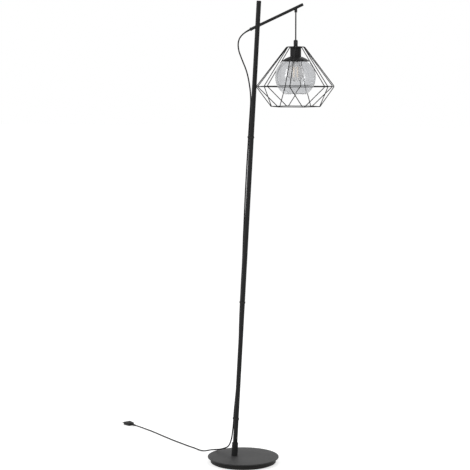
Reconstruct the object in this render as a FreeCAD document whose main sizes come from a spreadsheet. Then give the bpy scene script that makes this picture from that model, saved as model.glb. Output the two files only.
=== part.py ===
"""Wire cage floor lamp.

A round weighted base carries a leaning pole of three screwed tubes. A slanted arm passes through the
pole near its top, and the shade hangs from the arm on its cable: a six-sided wire cage round a glass
globe and its bulb.

Millimetres. The origin is the centre of the base's underside, on the floor. +Z is up, +X is the way the
arm points, and the pole, the arm and the shade's axis all lie in the plane Y = 0.
"""

import FreeCAD, Part
import math
import os
import re

import Sketcher

Vector = FreeCAD.Vector
X_AXIS, Y_AXIS, Z_AXIS = Vector(1, 0, 0), Vector(0, 1, 0), Vector(0, 0, 1)

# --------------------------------------------------------------------------- driving sizes

SIZES = {
    "base": {
        "pad_dia": 222, "pad_thick": 2, "weight_dia": 232, "weight_thick": 16, "weight_edge": 1,
        "cover_dia": 252, "cover_thick": 4, "cover_round": 1.5,
    },
    "foot": {
        "foot_offset": 31.8, "pole_lean": 3.09, "bolt_dia": 8, "bolt_reach": 26, "bolt_head": 5,
        "bolt_head_dia": 15, "bolt_play": 0.5, "washer_dia": 20, "washer_thick": 1.6, "recess_dia": 24,
        "recess_depth": 13.4, "sleeve_dia": 22, "sleeve_len": 46.5, "sleeve_fit": 0.05, "groove_drop": 9,
        "groove_width": 1, "groove_depth": 0.4, "sleeve_screw_dia": 4, "sleeve_screw_height": 22,
    },
    "pole": {
        "pole_dia": 16, "pole_wall": 1.5, "foot_gap": 0.8, "lower_len": 550.5, "middle_len": 580.7,
        "upper_len": 466.8, "insert_fit": 0.05, "foot_insert_len": 34, "joiner_len": 50, "cap_head": 2.5,
        "cap_spigot": 8, "cap_round": 1, "thread_fit": 0.05,
    },
    "clips": {
        "cord_dia": 4.8, "cord_gap": 0.3, "clip_wall": 1.4, "clip_tall": 6, "clip_fit": 0.05,
        "low_clip_height": 133.4, "low_clip_turn": 166, "mid_clip_turn": 150, "top_clip_turn": 180,
    },
    "arm": {
        "arm_dia": 10, "arm_wall": 1, "arm_rise": 24.5, "arm_drop": 86.5, "arm_back": 28.5,
        "arm_front": 174.7, "arm_fit": 0.1, "bush_head_dia": 12, "bush_head": 5, "bush_spigot": 12,
        "tip_head": 2, "tip_spigot": 8, "clamp_half": 16, "grub_dia": 5, "grub_len": 7, "grub_gap": 0.1,
    },
    "gland": {
        "gland_reach": 146.9, "pivot_drop": 12, "gland_dia": 9.8, "gland_lip": 3.5, "gland_throat": 5.4,
        "spigot_dia": 7, "spigot_len": 4.2, "ball_dia": 7.8, "ball_half": 2.2, "ball_fit": 0.1,
        "mouth_angle": 22, "mouth_play": 0.25, "ball_flare": 8.5, "cable_fit": 0.08, "lead_dia": 1.5,
        "lead_spread": 1, "sheath_end": 9,
    },
    "cable": {
        "cable_drop": 97, "cable_tail": 3, "grip_dia": 14.6, "grip_len": 21.5, "grip_top_dia": 12,
        "grip_taper": 3, "grip_socket": 9.5, "turn_fit": 0.05, "nipple_dia": 10, "nipple_bore": 6,
        "nipple_tail": 4.4, "nipple_fit": 0.05, "nut_flats_dia": 16.2, "nut_thick": 4, "grip_screw_dia": 3,
        "grip_screw_height": 13,
    },
    "cage": {
        "wire_dia": 3, "rod_dia": 2.8, "plate_dia": 40, "plate_thick": 6.5, "wire_depth": 2,
        "socket_fit": 0.02, "socket_radius": 14, "shoulder_radius": 30.5, "shoulder_bend": 7,
        "top_spacing": 11,
        "equator_drop": 134.8, "equator_radius": 138.5, "equator_spacing": 16, "equator_bend": 5,
        "ring_drop": 203.2, "ring_radius": 85, "ring_spacing": 7, "ring_bend": 2.6,
    },
    "lampholder": {
        "cup_dia": 37.6, "cup_height": 28, "cup_wall": 1.2, "cup_round": 1.5, "insert_top_gap": 7.5,
        "insert_len": 36, "insert_thread_len": 12, "skirt_dia": 33.8, "shell_dia": 26.5, "shell_wall": 0.5,
        "shell_len": 23, "insert_floor": 3.2, "ring_dia": 48, "ring_tall": 6, "holder_fit": 0.05,
        "terminal_dia": 5, "terminal_tall": 3, "terminal_radius": 11, "tongue_thick": 0.6,
        "tongue_width": 5, "tongue_len": 12,
    },
    "globe": {
        "globe_dia": 140, "glass_wall": 2, "mouth_drop": 59, "neck_dia": 36.6, "gasket_thick": 0.6,
        "gasket_in_dia": 56, "gasket_out_dia": 78, "dish_wall": 1.2, "dish_dia": 92, "dish_hole_dia": 35,
    },
    "bulb": {
        "bulb_base_dia": 26.3, "bulb_base_len": 22, "bulb_base_wall": 0.5, "insulator_len": 4,
        "insulator_dia": 20, "tip_dia": 9, "tip_len": 1, "bulb_dia": 60, "bulb_len": 102, "bulb_wall": 0.8,
        "bulb_neck_dia": 25.2, "bulb_neck_in": 5, "bulb_waist": 3, "stem_dia": 10, "stem_rod_dia": 3,
        "star_dia": 22, "star_thick": 1, "filament_dia": 2, "filament_len": 38,
        "filament_circle": 18, "bulb_gap": 0.05,
    },
    "plug": {
        "plug_len": 34, "plug_wide": 32, "plug_thick": 13.6, "plug_round": 2.4, "relief_len": 25,
        "relief_big_dia": 8.8, "relief_small_dia": 6.6, "rib_count": 4, "rib_gap": 2, "rib_depth": 0.7,
        "pin_dia": 4, "pin_len": 19, "pin_spacing": 19,
    },
}

# Sums of the sizes that more than one piece uses.
SUMS = {
    "base_height": "pad_thick + weight_thick + cover_thick",
    "recess_roof": "recess_depth - weight_thick - cover_thick",
    "pole_bore": "pole_dia - 2 * pole_wall",
    "mid_joint": "foot_gap + lower_len",
    "top_joint": "mid_joint + middle_len",
    "pole_end": "top_joint + upper_len",
    "arm_place": "pole_end + cap_head - arm_drop",
    "arm_bore": "arm_dia - 2 * arm_wall",
    "arm_to_pole": "arm_rise + pole_lean",
    "grub_rise": "(arm_dia / 2 + grub_gap) / cos(arm_to_pole) + grub_dia / 2 * tan(arm_to_pole)",
    "arm_x": "arm_place * sin(pole_lean) - foot_offset",
    "arm_z": "base_height + arm_place * cos(pole_lean)",
    "pendant_x": "arm_x + gland_reach * cos(arm_rise)",
    "gland_axis_z": "arm_z + gland_reach * sin(arm_rise)",
    "pivot_z": "gland_axis_z - pivot_drop",
    "seat_radius": "ball_dia / 2 + ball_fit",
    "flare_start": "cord_dia / 2 / cos(mouth_angle) + mouth_play",
    "flare_slope": "tan(mouth_angle)",
    "flare_square": "1 + flare_slope * flare_slope",
    "flare_root": "flare_square * seat_radius * seat_radius - flare_start * flare_start",
    "flare_meet": "(sqrt(flare_root) - flare_start * flare_slope) / flare_square",
    "grip_z": "pivot_z - cable_drop - grip_len",
    "plate_z": "grip_z - plate_thick",
    "wire_z": "grip_z - wire_depth",
    "cup_z": "plate_z - cup_height",
    "insert_z": "plate_z - insert_top_gap - insert_len",
    "dish_radius": "globe_dia / 2 + gasket_thick + dish_wall",
    "cup_bore": "cup_dia - 2 * cup_wall",
    "globe_z": "cup_z - sqrt(dish_radius * dish_radius - cup_bore * cup_bore / 4)",
    "glass_in": "globe_dia / 2 - glass_wall",
    "bulb_top_z": "insert_z + insert_len - insert_floor - tongue_thick - bulb_gap",
    "bulb_big": "bulb_dia / 2",
    "bulb_neck": "bulb_neck_dia / 2",
    "bulb_base_low": "bulb_len - tip_len - insulator_len - bulb_base_len",
    "waist_rise": "bulb_base_low - bulb_waist - bulb_big",
    "flank_sum": "bulb_neck * bulb_neck + waist_rise * waist_rise - bulb_big * bulb_big",
    "flank": "flank_sum / (2 * (bulb_big - bulb_neck))",
}
ALIASES = {alias for group in SIZES.values() for alias in group}

# The mains cord's route, chosen by hand: out of the arm's low end, down the pole through the three clips,
# over the rim of the base and along the floor to the plug.
CORD_ROUTE = [
    (4.0, 0.0, 1513.7), (-18.0, 0.5, 1490.0), (-19.5, 1.0, 1456.0), (-4.5, 2.0, 1417.0),
    (11.5, 3.0, 1380.0), (21.0, 4.0, 1334.0), (26.0, 5.0, 1286.0), (22.6, 4.0, 1232.0),
    (19.67, 0.0, 1174.0), (17.08, 0.0, 1126.0), (12.5, 0.6, 1058.0), (8.6, 1.6, 991.0),
    (4.9, 2.5, 923.0), (1.9, 3.8, 856.0), (-1.3, 4.9, 788.0), (-3.5, 6.5, 720.0), (-7.6, 6.2, 652.0),
    (-10.2, 5.35, 594.0), (-12.52, 5.35, 551.0), (-15.6, 7.4, 482.0), (-17.2, 9.4, 414.0),
    (-19.7, 10.4, 346.0), (-25.0, 9.2, 278.0), (-30.7, 6.3, 214.0), (-33.84, 2.59, 176.8),
    (-36.1, 2.59, 134.9), (-40.0, 4.0, 104.0), (-45.0, 9.0, 76.0), (-57.0, 17.5, 49.0),
    (-75.0, 28.5, 38.5), (-96.0, 38.5, 30.5), (-116.0, 48.0, 26.4), (-136.0, 60.0, 20.8),
    (-154.0, 79.0, 12.5), (-172.0, 100.0, 5.0), (-193.0, 118.0, 2.7), (-215.1, 141.8, 2.6),
    (-246.5, 166.4, 2.6), (-282.6, 199.7, 2.6), (-321.2, 233.8, 2.6), (-364.8, 277.0, 2.6),
    (-406.7, 319.2, 2.6), (-446.4, 359.0, 2.7), (-482.4, 385.1, 4.4), (-508.6, 400.9, 6.8),
    (-529.5, 417.3, 6.8),
]

doc = FreeCAD.newDocument("cage_floor_lamp")
sheet = doc.addObject("Spreadsheet::Sheet", "Sizes")


def fill_sheet():
    """Write each driving size into the sheet: its group, its name and its number."""
    row = 1
    for group, sizes in SIZES.items():
        for alias, number in sizes.items():
            sheet.set(f"A{row}", group)
            sheet.set(f"B{row}", alias)
            sheet.set(f"C{row}", str(number))
            sheet.setAlias(f"C{row}", alias)
            row += 1
    doc.recompute()


def bound(words):
    """An expression that other objects can use: sums written out, sizes read from the sheet."""
    def swap(found):
        name = found.group(0)
        if name in SUMS:
            return f"({bound(SUMS[name])})"
        return f"Sizes.{name}" if name in ALIASES else name

    return re.sub(r"[a-z_][a-z_0-9]*", swap, str(words))


def size(words):
    """The number that an expression in the sheet's names comes to."""
    found = sheet.evalExpression(bound(words))
    return float(getattr(found, "Value", found))


# --------------------------------------------------------------------------- ways of making a piece

def place(piece, spot, tilt="0", axis=Y_AXIS):
    """Put a piece at a spot, turned about an axis through its own origin, all bound to the sheet."""
    piece.Placement = FreeCAD.Placement(Vector(*(size(s) for s in spot)), FreeCAD.Rotation(axis, size(tilt)))
    for name, words in zip("xyz", spot):
        piece.setExpression(f"Placement.Base.{name}", bound(words))
    if tilt != "0":
        piece.setExpression("Placement.Rotation.Angle", bound(tilt))
    return piece


def on_pole(piece, height):
    """Put a piece on the pole's leaning axis, its own Z along it, at a height above the base's top."""
    spot = (f"({height}) * sin(pole_lean) - foot_offset", "0", f"base_height + ({height}) * cos(pole_lean)")
    return place(piece, spot, "pole_lean")


def on_arm(piece, reach):
    """Put a piece on the arm's axis, its own Z towards the tip, at a reach from the pole's axis."""
    spot = (f"arm_x + ({reach}) * cos(arm_rise)", "0", f"arm_z + ({reach}) * sin(arm_rise)")
    return place(piece, spot, "90 - arm_rise")


def on_pendant(piece, height):
    """Put a piece on the shade's upright axis, at a height above the floor."""
    return place(piece, ("pendant_x", "0", height))


def origin_plane(body, role):
    return next(f for f in body.Origin.OriginFeatures if f.Role == role)


def new_sketch(body, role):
    sketch = body.newObject("Sketcher::SketchObject", f"{body.Name}_outline")
    sketch.AttachmentSupport = [(origin_plane(body, role), "")]
    sketch.MapMode = "FlatFace"
    return sketch


def arc_edge(start, end, radius, side):
    """A sketch arc between two points. side is 1 if its centre is left of the way, -1 if right."""
    chord = end - start
    half = chord.Length / 2
    rise = math.sqrt(max(radius * radius - half * half, 0))
    left = Vector(-chord.y, chord.x, 0).normalize()
    centre = (start + end) * 0.5 + left * (rise * side)
    first, last = (start, end) if side > 0 else (end, start)
    turn = [math.atan2((p - centre).y, (p - centre).x) for p in (first, last)]
    if turn[1] < turn[0]:
        turn[1] += 2 * math.pi
    return Part.ArcOfCircle(Part.Circle(centre, Z_AXIS, radius), *turn)


def fix_point(sketch, edge, end, across, up):
    """Tie a sketch point to its two distances from the origin."""
    for words, kind, line in ((across, "DistanceX", -2), (up, "DistanceY", -1)):
        if words == "0":
            sketch.addConstraint(Sketcher.Constraint("PointOnObject", edge, end, line))
        else:
            tie = sketch.addConstraint(Sketcher.Constraint(kind, -1, 1, edge, end, size(words)))
            sketch.setExpression(f"Constraints[{tie}]", bound(words))


def draw(sketch, corners):
    """A closed outline through corners (across, up) or (across, up, radius, side): the latter end an arc."""
    points = [Vector(size(c[0]), size(c[1]), 0) for c in corners]
    edges = []
    for i, start in enumerate(points):
        goal = corners[(i + 1) % len(corners)]
        end = points[(i + 1) % len(points)]
        if len(goal) == 2:
            edges.append((sketch.addGeometry(Part.LineSegment(start, end), False), 1, 2))
            continue
        edge = sketch.addGeometry(arc_edge(start, end, size(goal[2]), goal[3]), False)
        edges.append((edge, 1, 2) if goal[3] > 0 else (edge, 2, 1))
        tie = sketch.addConstraint(Sketcher.Constraint("Radius", edge, size(goal[2])))
        sketch.setExpression(f"Constraints[{tie}]", bound(goal[2]))
    for i, (edge, first, _) in enumerate(edges):
        before, _, last = edges[i - 1]
        sketch.addConstraint(Sketcher.Constraint("Coincident", before, last, edge, first))
        fix_point(sketch, edge, first, *corners[i][:2])


def turned(label, corners):
    """A Body turned about its own Z from an outline of (radius, height) corners."""
    body = doc.addObject("PartDesign::Body", label)
    sketch = new_sketch(body, "XZ_Plane")
    draw(sketch, corners)
    spin = body.newObject("PartDesign::Revolution", f"{label}_spin")
    spin.Profile = sketch
    spin.ReferenceAxis = (sketch, ["V_Axis"])
    spin.Angle = 360
    return body


def tube_piece(label, outer, inner, tall):
    """A plain tube or ring between two radii."""
    return turned(label, [(inner, "0"), (outer, "0"), (outer, tall), (inner, tall)])


def rod_piece(label, radius, tall):
    """A plain round rod."""
    return turned(label, [("0", "0"), (radius, "0"), (radius, tall), ("0", tall)])


def drill(label, radius, depth):
    """A round cutter along its own Z."""
    cutter = doc.addObject("Part::Cylinder", label)
    cutter.setExpression("Radius", bound(radius))
    cutter.setExpression("Height", bound(depth))
    return cutter


def cut(label, blank, cutters):
    """A piece with cutters taken out of it."""
    tool = cutters[0]
    if len(cutters) > 1:
        tool = doc.addObject("Part::MultiFuse", f"{label}_cutters")
        tool.Shapes = cutters
    piece = doc.addObject("Part::Cut", label)
    piece.Base = blank
    piece.Tool = tool
    return piece


def joined(label, first, second):
    piece = doc.addObject("Part::Fuse", label)
    piece.Base = first
    piece.Tool = second
    return piece


def group(label, pieces):
    """Separate solids that share one node."""
    whole = doc.addObject("Part::Compound", label)
    whole.Links = pieces
    return whole


def shaped(label, shape, placement=None):
    """A piece whose shape is worked out in this file."""
    piece = doc.addObject("Part::Feature", label)
    piece.Shape = shape
    piece.Placement = placement or FreeCAD.Placement()
    return piece


def rounded_path(points, bends, closed=False):
    """A wire of straight runs joined by tangent arcs. bends[i] is the radius at points[i]."""
    count = len(points)
    corners = range(count) if closed else range(1, count - 1)
    ends = {}
    edges = []
    for i in corners:
        back = (points[i - 1] - points[i]).normalize()
        ahead = (points[(i + 1) % count] - points[i]).normalize()
        turn = math.pi - back.getAngle(ahead)
        step = bends[i] * math.tan(turn / 2)
        middle = (back + ahead).normalize() * (bends[i] / math.cos(turn / 2) - bends[i])
        ends[i] = (points[i] + back * step, points[i] + middle, points[i] + ahead * step)
    for i in range(count if closed else count - 1):
        start = ends[i][2] if i in ends else points[i]
        after = (i + 1) % count
        finish = ends[after][0] if after in ends else points[after]
        edges.append(Part.LineSegment(start, finish).toShape())
        if after in ends:
            edges.append(Part.Arc(*ends[after]).toShape())
    return Part.Wire(edges)


def tube_along(path, radius):
    """A solid round tube along a path of runs and arcs."""
    start = path.Edges[0]
    way = start.tangentAt(start.FirstParameter)
    ring = Part.Wire(Part.makeCircle(radius, start.valueAt(start.FirstParameter), way))
    return path.makePipeShell([ring], True, False)


# --------------------------------------------------------------------------- base and foot

def make_base():
    """The felt pad, the cast weight and the pressed cover, with the leaning hole for the foot bolt."""
    place(rod_piece("base_pad", "pad_dia / 2", "pad_thick"), ("0", "0", "0"))
    weight = turned("weight_blank", [
        ("0", "0"), ("weight_dia / 2 - weight_edge", "0"), ("weight_dia / 2", "weight_edge"),
        ("weight_dia / 2", "weight_thick"), ("0", "weight_thick"),
    ])
    place(weight, ("0", "0", "pad_thick"))
    cover = turned("cover_blank", [
        ("0", "0"), ("cover_dia / 2 - cover_round", "0"), ("cover_dia / 2", "cover_round", "cover_round", 1),
        ("cover_dia / 2", "cover_thick - cover_round"),
        ("cover_dia / 2 - cover_round", "cover_thick", "cover_round", 1), ("0", "cover_thick"),
    ])
    place(cover, ("0", "0", "pad_thick + weight_thick"))
    bolt_hole = "bolt_dia / 2 + bolt_play"
    recess = drill("bolt_recess", "recess_dia / 2", "recess_depth * 2")
    on_pole(recess, "recess_roof - recess_depth * 2")
    low_hole = on_pole(drill("weight_hole", bolt_hole, "base_height * 3"), "0 - base_height * 2")
    high_hole = on_pole(drill("cover_hole", bolt_hole, "base_height * 3"), "0 - base_height * 2")
    cut("base_weight", weight, [recess, low_hole])
    cut("base_cover", cover, [high_hole])


def make_foot():
    """The bolt that holds the pole from below, its washer, the insert in the pole and the sleeve round it."""
    head = doc.addObject("Part::Prism", "bolt_head_blank")
    head.Polygon = 6
    head.setExpression("Circumradius", bound("bolt_head_dia / 2"))
    head.setExpression("Height", bound("bolt_head"))
    on_pole(head, "recess_roof - washer_thick - bolt_head")
    shank = drill("bolt_shank", "bolt_dia / 2", "bolt_reach - recess_roof + washer_thick")
    on_pole(shank, "recess_roof - washer_thick")
    joined("foot_bolt", head, shank)
    washer = tube_piece("foot_washer", "washer_dia / 2", "bolt_dia / 2 + bolt_play", "washer_thick")
    on_pole(washer, "recess_roof - washer_thick")
    insert = turned("pole_foot_insert", [
        ("bolt_dia / 2 + thread_fit", "0"), ("pole_bore / 2 - insert_fit", "0"),
        ("pole_bore / 2 - insert_fit", "foot_insert_len"), ("0", "foot_insert_len"),
        ("0", "bolt_reach"), ("bolt_dia / 2 + thread_fit", "bolt_reach"),
    ])
    on_pole(insert, "foot_gap")
    groove_low = "sleeve_len - groove_drop + base_height"
    inner = "pole_dia / 2 + sleeve_fit"
    outer = "sleeve_dia / 2"
    sleeve = turned("sleeve_blank", [
        (inner, "0"), (outer, "0"), (outer, groove_low), (f"{outer} - groove_depth", groove_low),
        (f"{outer} - groove_depth", f"{groove_low} + groove_width"), (outer, f"{groove_low} + groove_width"),
        (outer, "sleeve_len + base_height"), (inner, "sleeve_len + base_height"),
    ])
    on_pole(sleeve, "0 - base_height")
    floor = doc.addObject("Part::Box", "sleeve_mitre")
    floor.setExpression("Length", bound("cover_dia"))
    floor.setExpression("Width", bound("cover_dia"))
    floor.setExpression("Height", bound("base_height * 2"))
    place(floor, ("0 - foot_offset - cover_dia / 2", "0 - cover_dia / 2", "0 - base_height"))
    screw_hole = drill("sleeve_screw_hole", "sleeve_screw_dia / 2 + thread_fit", "sleeve_dia")
    screw = drill("sleeve_screw", "sleeve_screw_dia / 2", "sleeve_dia / 2 - pole_dia / 2 - 4 * sleeve_fit")
    for piece, start in ((screw_hole, "0"), (screw, "pole_dia / 2 + 2 * sleeve_fit")):
        spot = ("sleeve_screw_height * sin(pole_lean) - foot_offset", start,
                "base_height + sleeve_screw_height * cos(pole_lean)")
        place(piece, spot, "-90", X_AXIS)
    cut("foot_sleeve", sleeve, [floor, screw_hole])


# --------------------------------------------------------------------------- pole

def arm_drill(label, extra):
    """A cutter along the arm's axis, right through the pole."""
    return on_arm(drill(label, f"arm_dia / 2 + {extra}", "pole_dia * 4"), "0 - pole_dia * 2")


def make_pole():
    """Three tubes screwed end to end on hidden joiners, closed by a cap, with the arm's clamp plug inside."""
    outer, inner = "pole_dia / 2", "pole_bore / 2"
    on_pole(tube_piece("pole_lower", outer, inner, "lower_len"), "foot_gap")
    on_pole(tube_piece("pole_middle", outer, inner, "middle_len"), "mid_joint")
    upper = on_pole(tube_piece("upper_blank", outer, inner, "upper_len"), "top_joint")
    cut("pole_upper", upper, [arm_drill("pole_arm_hole", "arm_fit")])
    for label, joint in (("pole_joiner_lower", "mid_joint"), ("pole_joiner_upper", "top_joint")):
        on_pole(rod_piece(label, f"{inner} - insert_fit", "joiner_len"), f"{joint} - joiner_len / 2")
    cap = turned("pole_top_cap", [
        ("0", "0"), (f"{inner} - insert_fit", "0"), (f"{inner} - insert_fit", "cap_spigot"),
        (outer, "cap_spigot"), (outer, "cap_spigot + cap_head - cap_round"),
        (f"{outer} - cap_round", "cap_spigot + cap_head", "cap_round", 1), ("0", "cap_spigot + cap_head"),
    ])
    on_pole(cap, "pole_end - cap_spigot")
    plug = rod_piece("clamp_blank", f"{inner} - insert_fit", "clamp_half * 2")
    on_pole(plug, "arm_place - clamp_half")
    thread = on_pole(drill("grub_hole", "grub_dia / 2 + thread_fit", "clamp_half * 2"), "arm_place")
    cut("arm_clamp_plug", plug, [arm_drill("clamp_arm_hole", "arm_fit"), thread])
    on_pole(rod_piece("arm_grub_screw", "grub_dia / 2", "grub_len"), "arm_place + grub_rise")


def clip(label, height, turn):
    """A thin band that holds the cord against the pole: two arcs joined by their common tangents, padded."""
    body = doc.addObject("PartDesign::Body", label)
    sketch = new_sketch(body, "XY_Plane")
    reach = "(pole_dia + cord_dia) / 2 + cord_gap"
    way = math.radians(size(turn))
    far = Vector(math.cos(way), math.sin(way), 0) * size(reach)
    for extra in ("clip_fit", "clip_fit + clip_wall"):
        band_loop(sketch, far, reach, turn, f"pole_dia / 2 + {extra}", f"cord_dia / 2 + {extra}")
    pad = body.newObject("PartDesign::Pad", f"{label}_pad")
    pad.Profile = sketch
    pad.setExpression("Length", bound("clip_tall"))
    return on_pole(body, f"{height} - clip_tall / 2")


def band_loop(sketch, far, reach, turn, big, small):
    """One closed loop round the pole and the cord in a clip's sketch."""
    way = math.radians(size(turn))
    lean = math.acos((size(big) - size(small)) / far.Length)
    low, high = way - lean, way + lean
    wide = sketch.addGeometry(Part.ArcOfCircle(Part.Circle(Vector(), Z_AXIS, size(big)), high,
                                               low + 2 * math.pi), False)
    tight = sketch.addGeometry(Part.ArcOfCircle(Part.Circle(far, Z_AXIS, size(small)), low, high), False)
    point = {(c, a): centre + Vector(math.cos(a), math.sin(a), 0) * radius
             for c, centre, radius in (("wide", Vector(), size(big)), ("tight", far, size(small)))
             for a in (low, high)}
    top = sketch.addGeometry(Part.LineSegment(point["tight", high], point["wide", high]), False)
    bottom = sketch.addGeometry(Part.LineSegment(point["wide", low], point["tight", low]), False)
    for edge, end, other, start in ((tight, 2, top, 1), (top, 2, wide, 1), (wide, 2, bottom, 1),
                                    (bottom, 2, tight, 1)):
        sketch.addConstraint(Sketcher.Constraint("Tangent", edge, end, other, start))
    sketch.addConstraint(Sketcher.Constraint("Coincident", wide, 3, -1, 1))
    for edge, words in ((wide, big), (tight, small)):
        tie = sketch.addConstraint(Sketcher.Constraint("Radius", edge, size(words)))
        sketch.setExpression(f"Constraints[{tie}]", bound(words))
    for kind, words, number in (("DistanceX", f"({reach}) * cos({turn})", far.x),
                                ("DistanceY", f"({reach}) * sin({turn})", far.y)):
        tie = sketch.addConstraint(Sketcher.Constraint(kind, -1, 1, tight, 3, number))
        sketch.setExpression(f"Constraints[{tie}]", bound(words))


def make_clips():
    clip("cord_clip_low", "low_clip_height", "low_clip_turn")
    clip("cord_clip_middle", "mid_joint", "mid_clip_turn")
    clip("cord_clip_top", "top_joint", "top_clip_turn")


# --------------------------------------------------------------------------- arm and gland

def make_arm():
    """The slanted tube, the bush where the cord goes in, the tip's cap and the cable inside."""
    outer, inner = "arm_dia / 2", "arm_bore / 2"
    start, end = "bush_head - arm_back", "arm_front - tip_head"
    tube = on_arm(tube_piece("arm_blank", outer, inner, f"({end}) - ({start})"), start)
    hole = on_pendant(drill("gland_hole", "spigot_dia / 2 + thread_fit", "arm_dia"), "gland_axis_z - arm_dia")
    cut("arm_tube", tube, [hole])
    bore = "cord_dia / 2 + cable_fit"
    bush = turned("arm_entry_bush", [
        (bore, "0"), ("bush_head_dia / 2 - arm_wall", "0"), ("bush_head_dia / 2", "arm_wall", "arm_wall", 1),
        ("bush_head_dia / 2", "bush_head"), (f"{inner} - insert_fit", "bush_head"),
        (f"{inner} - insert_fit", "bush_head + bush_spigot"), (bore, "bush_head + bush_spigot"),
    ])
    on_arm(bush, "0 - arm_back")
    tip = turned("arm_end_cap", [
        ("0", "0"), (f"{inner} - insert_fit", "0"), (f"{inner} - insert_fit", "tip_spigot"),
        (outer, "tip_spigot"), (outer, "tip_spigot + tip_head / 2"),
        (f"{outer} - tip_head / 2", "tip_spigot + tip_head", "tip_head / 2", 1),
        ("0", "tip_spigot + tip_head"),
    ])
    on_arm(tip, f"{end} - tip_spigot")
    on_arm(rod_piece("arm_cable", "cord_dia / 2", "arm_back + gland_reach - sheath_end"), "0 - arm_back")


def make_gland():
    """The bell-mouthed nipple under the arm, and the ball grommet in it that the pendant cable swings in."""
    waist = "gland_throat / 2"
    seat_up = f"sqrt(seat_radius * seat_radius - ({waist}) * ({waist}))"
    collar = "gland_dia / 2"
    bell = turned("gland_bell", [
        ("flare_start + flare_slope * gland_lip", "0"), (collar, "0"),
        (collar, "gland_lip + pivot_drop"), (waist, "gland_lip + pivot_drop"),
        (waist, f"gland_lip + {seat_up}"),
        ("flare_start + flare_slope * flare_meet", "gland_lip - flare_meet", "seat_radius", -1),
    ])
    on_pendant(bell, "pivot_z - gland_lip")
    saddle = on_arm(drill("gland_saddle", "arm_dia / 2 + sleeve_fit", "arm_front"), "gland_reach / 2")
    seated = cut("gland_collar", bell, [saddle])
    spigot = tube_piece("gland_spigot", "spigot_dia / 2", waist, "spigot_len")
    on_pendant(spigot, "pivot_z + ball_half * 2")
    joined("arm_gland", seated, spigot)
    half, flat = "ball_dia / 2", "sqrt(ball_dia * ball_dia / 4 - ball_half * ball_half)"
    waist_bore = "cord_dia / 2 + cable_fit"
    end_bore = f"{waist_bore} + ball_half * tan(ball_flare)"
    grommet = turned("gland_grommet", [
        (end_bore, "0"), (flat, "0"), (flat, "ball_half * 2", half, 1), (end_bore, "ball_half * 2"),
        (waist_bore, "ball_half"),
    ])
    on_pendant(grommet, "pivot_z - ball_half")


def make_arm_leads():
    """The cable's two leads, from its sheath in the arm down through the gland to the pendant cable."""
    rise = math.radians(size("arm_rise"))
    way = Vector(math.cos(rise), 0, math.sin(rise))
    over = Vector(size("pendant_x"), 0, size("gland_axis_z"))
    drop = size("pivot_drop - cord_dia / 2 - 0.3")
    solids = []
    for side in (-1, 1):
        aside = Y_AXIS * (side * size("lead_spread"))
        points = [over - way * size("sheath_end") + aside, over + aside, over - Z_AXIS * drop + aside]
        solids.append(tube_along(rounded_path(points, [0, 2 * size("lead_dia"), 0]), size("lead_dia / 2")))
    shaped("arm_leads", Part.makeCompound(solids))


# --------------------------------------------------------------------------- pendant cable and cord grip

def make_cable():
    """The pendant cable, the cord grip that holds the shade on it, the grip's screw and the hollow nipple."""
    reach = "cable_drop + grip_len - grip_socket + cable_tail"
    cable = turned("pendant_cable", [
        ("0", "0"), ("cord_dia / 2", "0"), ("cord_dia / 2", reach),
        ("0", f"{reach} + cord_dia / 2", "cord_dia / 2", 1),
    ])
    on_pendant(cable, "grip_z + grip_socket - cable_tail")
    outer, bore = "grip_dia / 2", "cord_dia / 2 + turn_fit"
    grip = turned("grip_blank", [
        ("nipple_dia / 2 + nipple_fit", "0"), (outer, "0"), (outer, "grip_len - grip_taper"),
        ("grip_top_dia / 2", "grip_len"), (bore, "grip_len"), (bore, "grip_socket"),
        ("nipple_dia / 2 + nipple_fit", "grip_socket"),
    ])
    on_pendant(grip, "grip_z")
    hole = drill("grip_screw_hole", "grip_screw_dia / 2 + thread_fit", "grip_dia")
    screw = drill("cord_grip_screw", "grip_screw_dia / 2", "(grip_dia - cord_dia) / 2 - 4 * turn_fit")
    for piece, start in ((hole, "0"), (screw, "cord_dia / 2 + 2 * turn_fit")):
        place(piece, ("pendant_x", start, "grip_z + grip_screw_height"), "-90", X_AXIS)
    cut("cord_grip", grip, [hole])
    nipple_tall = "grip_socket - turn_fit + plate_thick + cup_wall + nipple_tail"
    on_pendant(tube_piece("cord_nipple", "nipple_dia / 2", "nipple_bore / 2", nipple_tall),
               "plate_z - cup_wall - nipple_tail")
    blank = doc.addObject("Part::Prism", "nut_blank")
    blank.Polygon = 6
    blank.setExpression("Circumradius", bound("nut_flats_dia / 2"))
    blank.setExpression("Height", bound("nut_thick"))
    on_pendant(blank, "plate_z - cup_wall - nut_thick")
    thread = on_pendant(drill("nut_thread", "nipple_dia / 2 + nipple_fit", "nut_thick * 3"),
                        "plate_z - cup_wall - nut_thick * 2")
    cut("nipple_nut", blank, [thread])


# --------------------------------------------------------------------------- cage

def cage_spot(angle, radius, aside, height):
    """A point of the cage: out from its axis at an angle, then aside, at a height above the floor."""
    out = Vector(math.cos(math.radians(angle)), math.sin(math.radians(angle)), 0)
    return Vector(size("pendant_x"), 0, height) + out * radius + Vector(-out.y, out.x, 0) * aside


def corner_angle(k):
    """Where the k-th pair of struts stands: a flat side of the cage faces the pole."""
    return 30 + 60 * k


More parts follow.
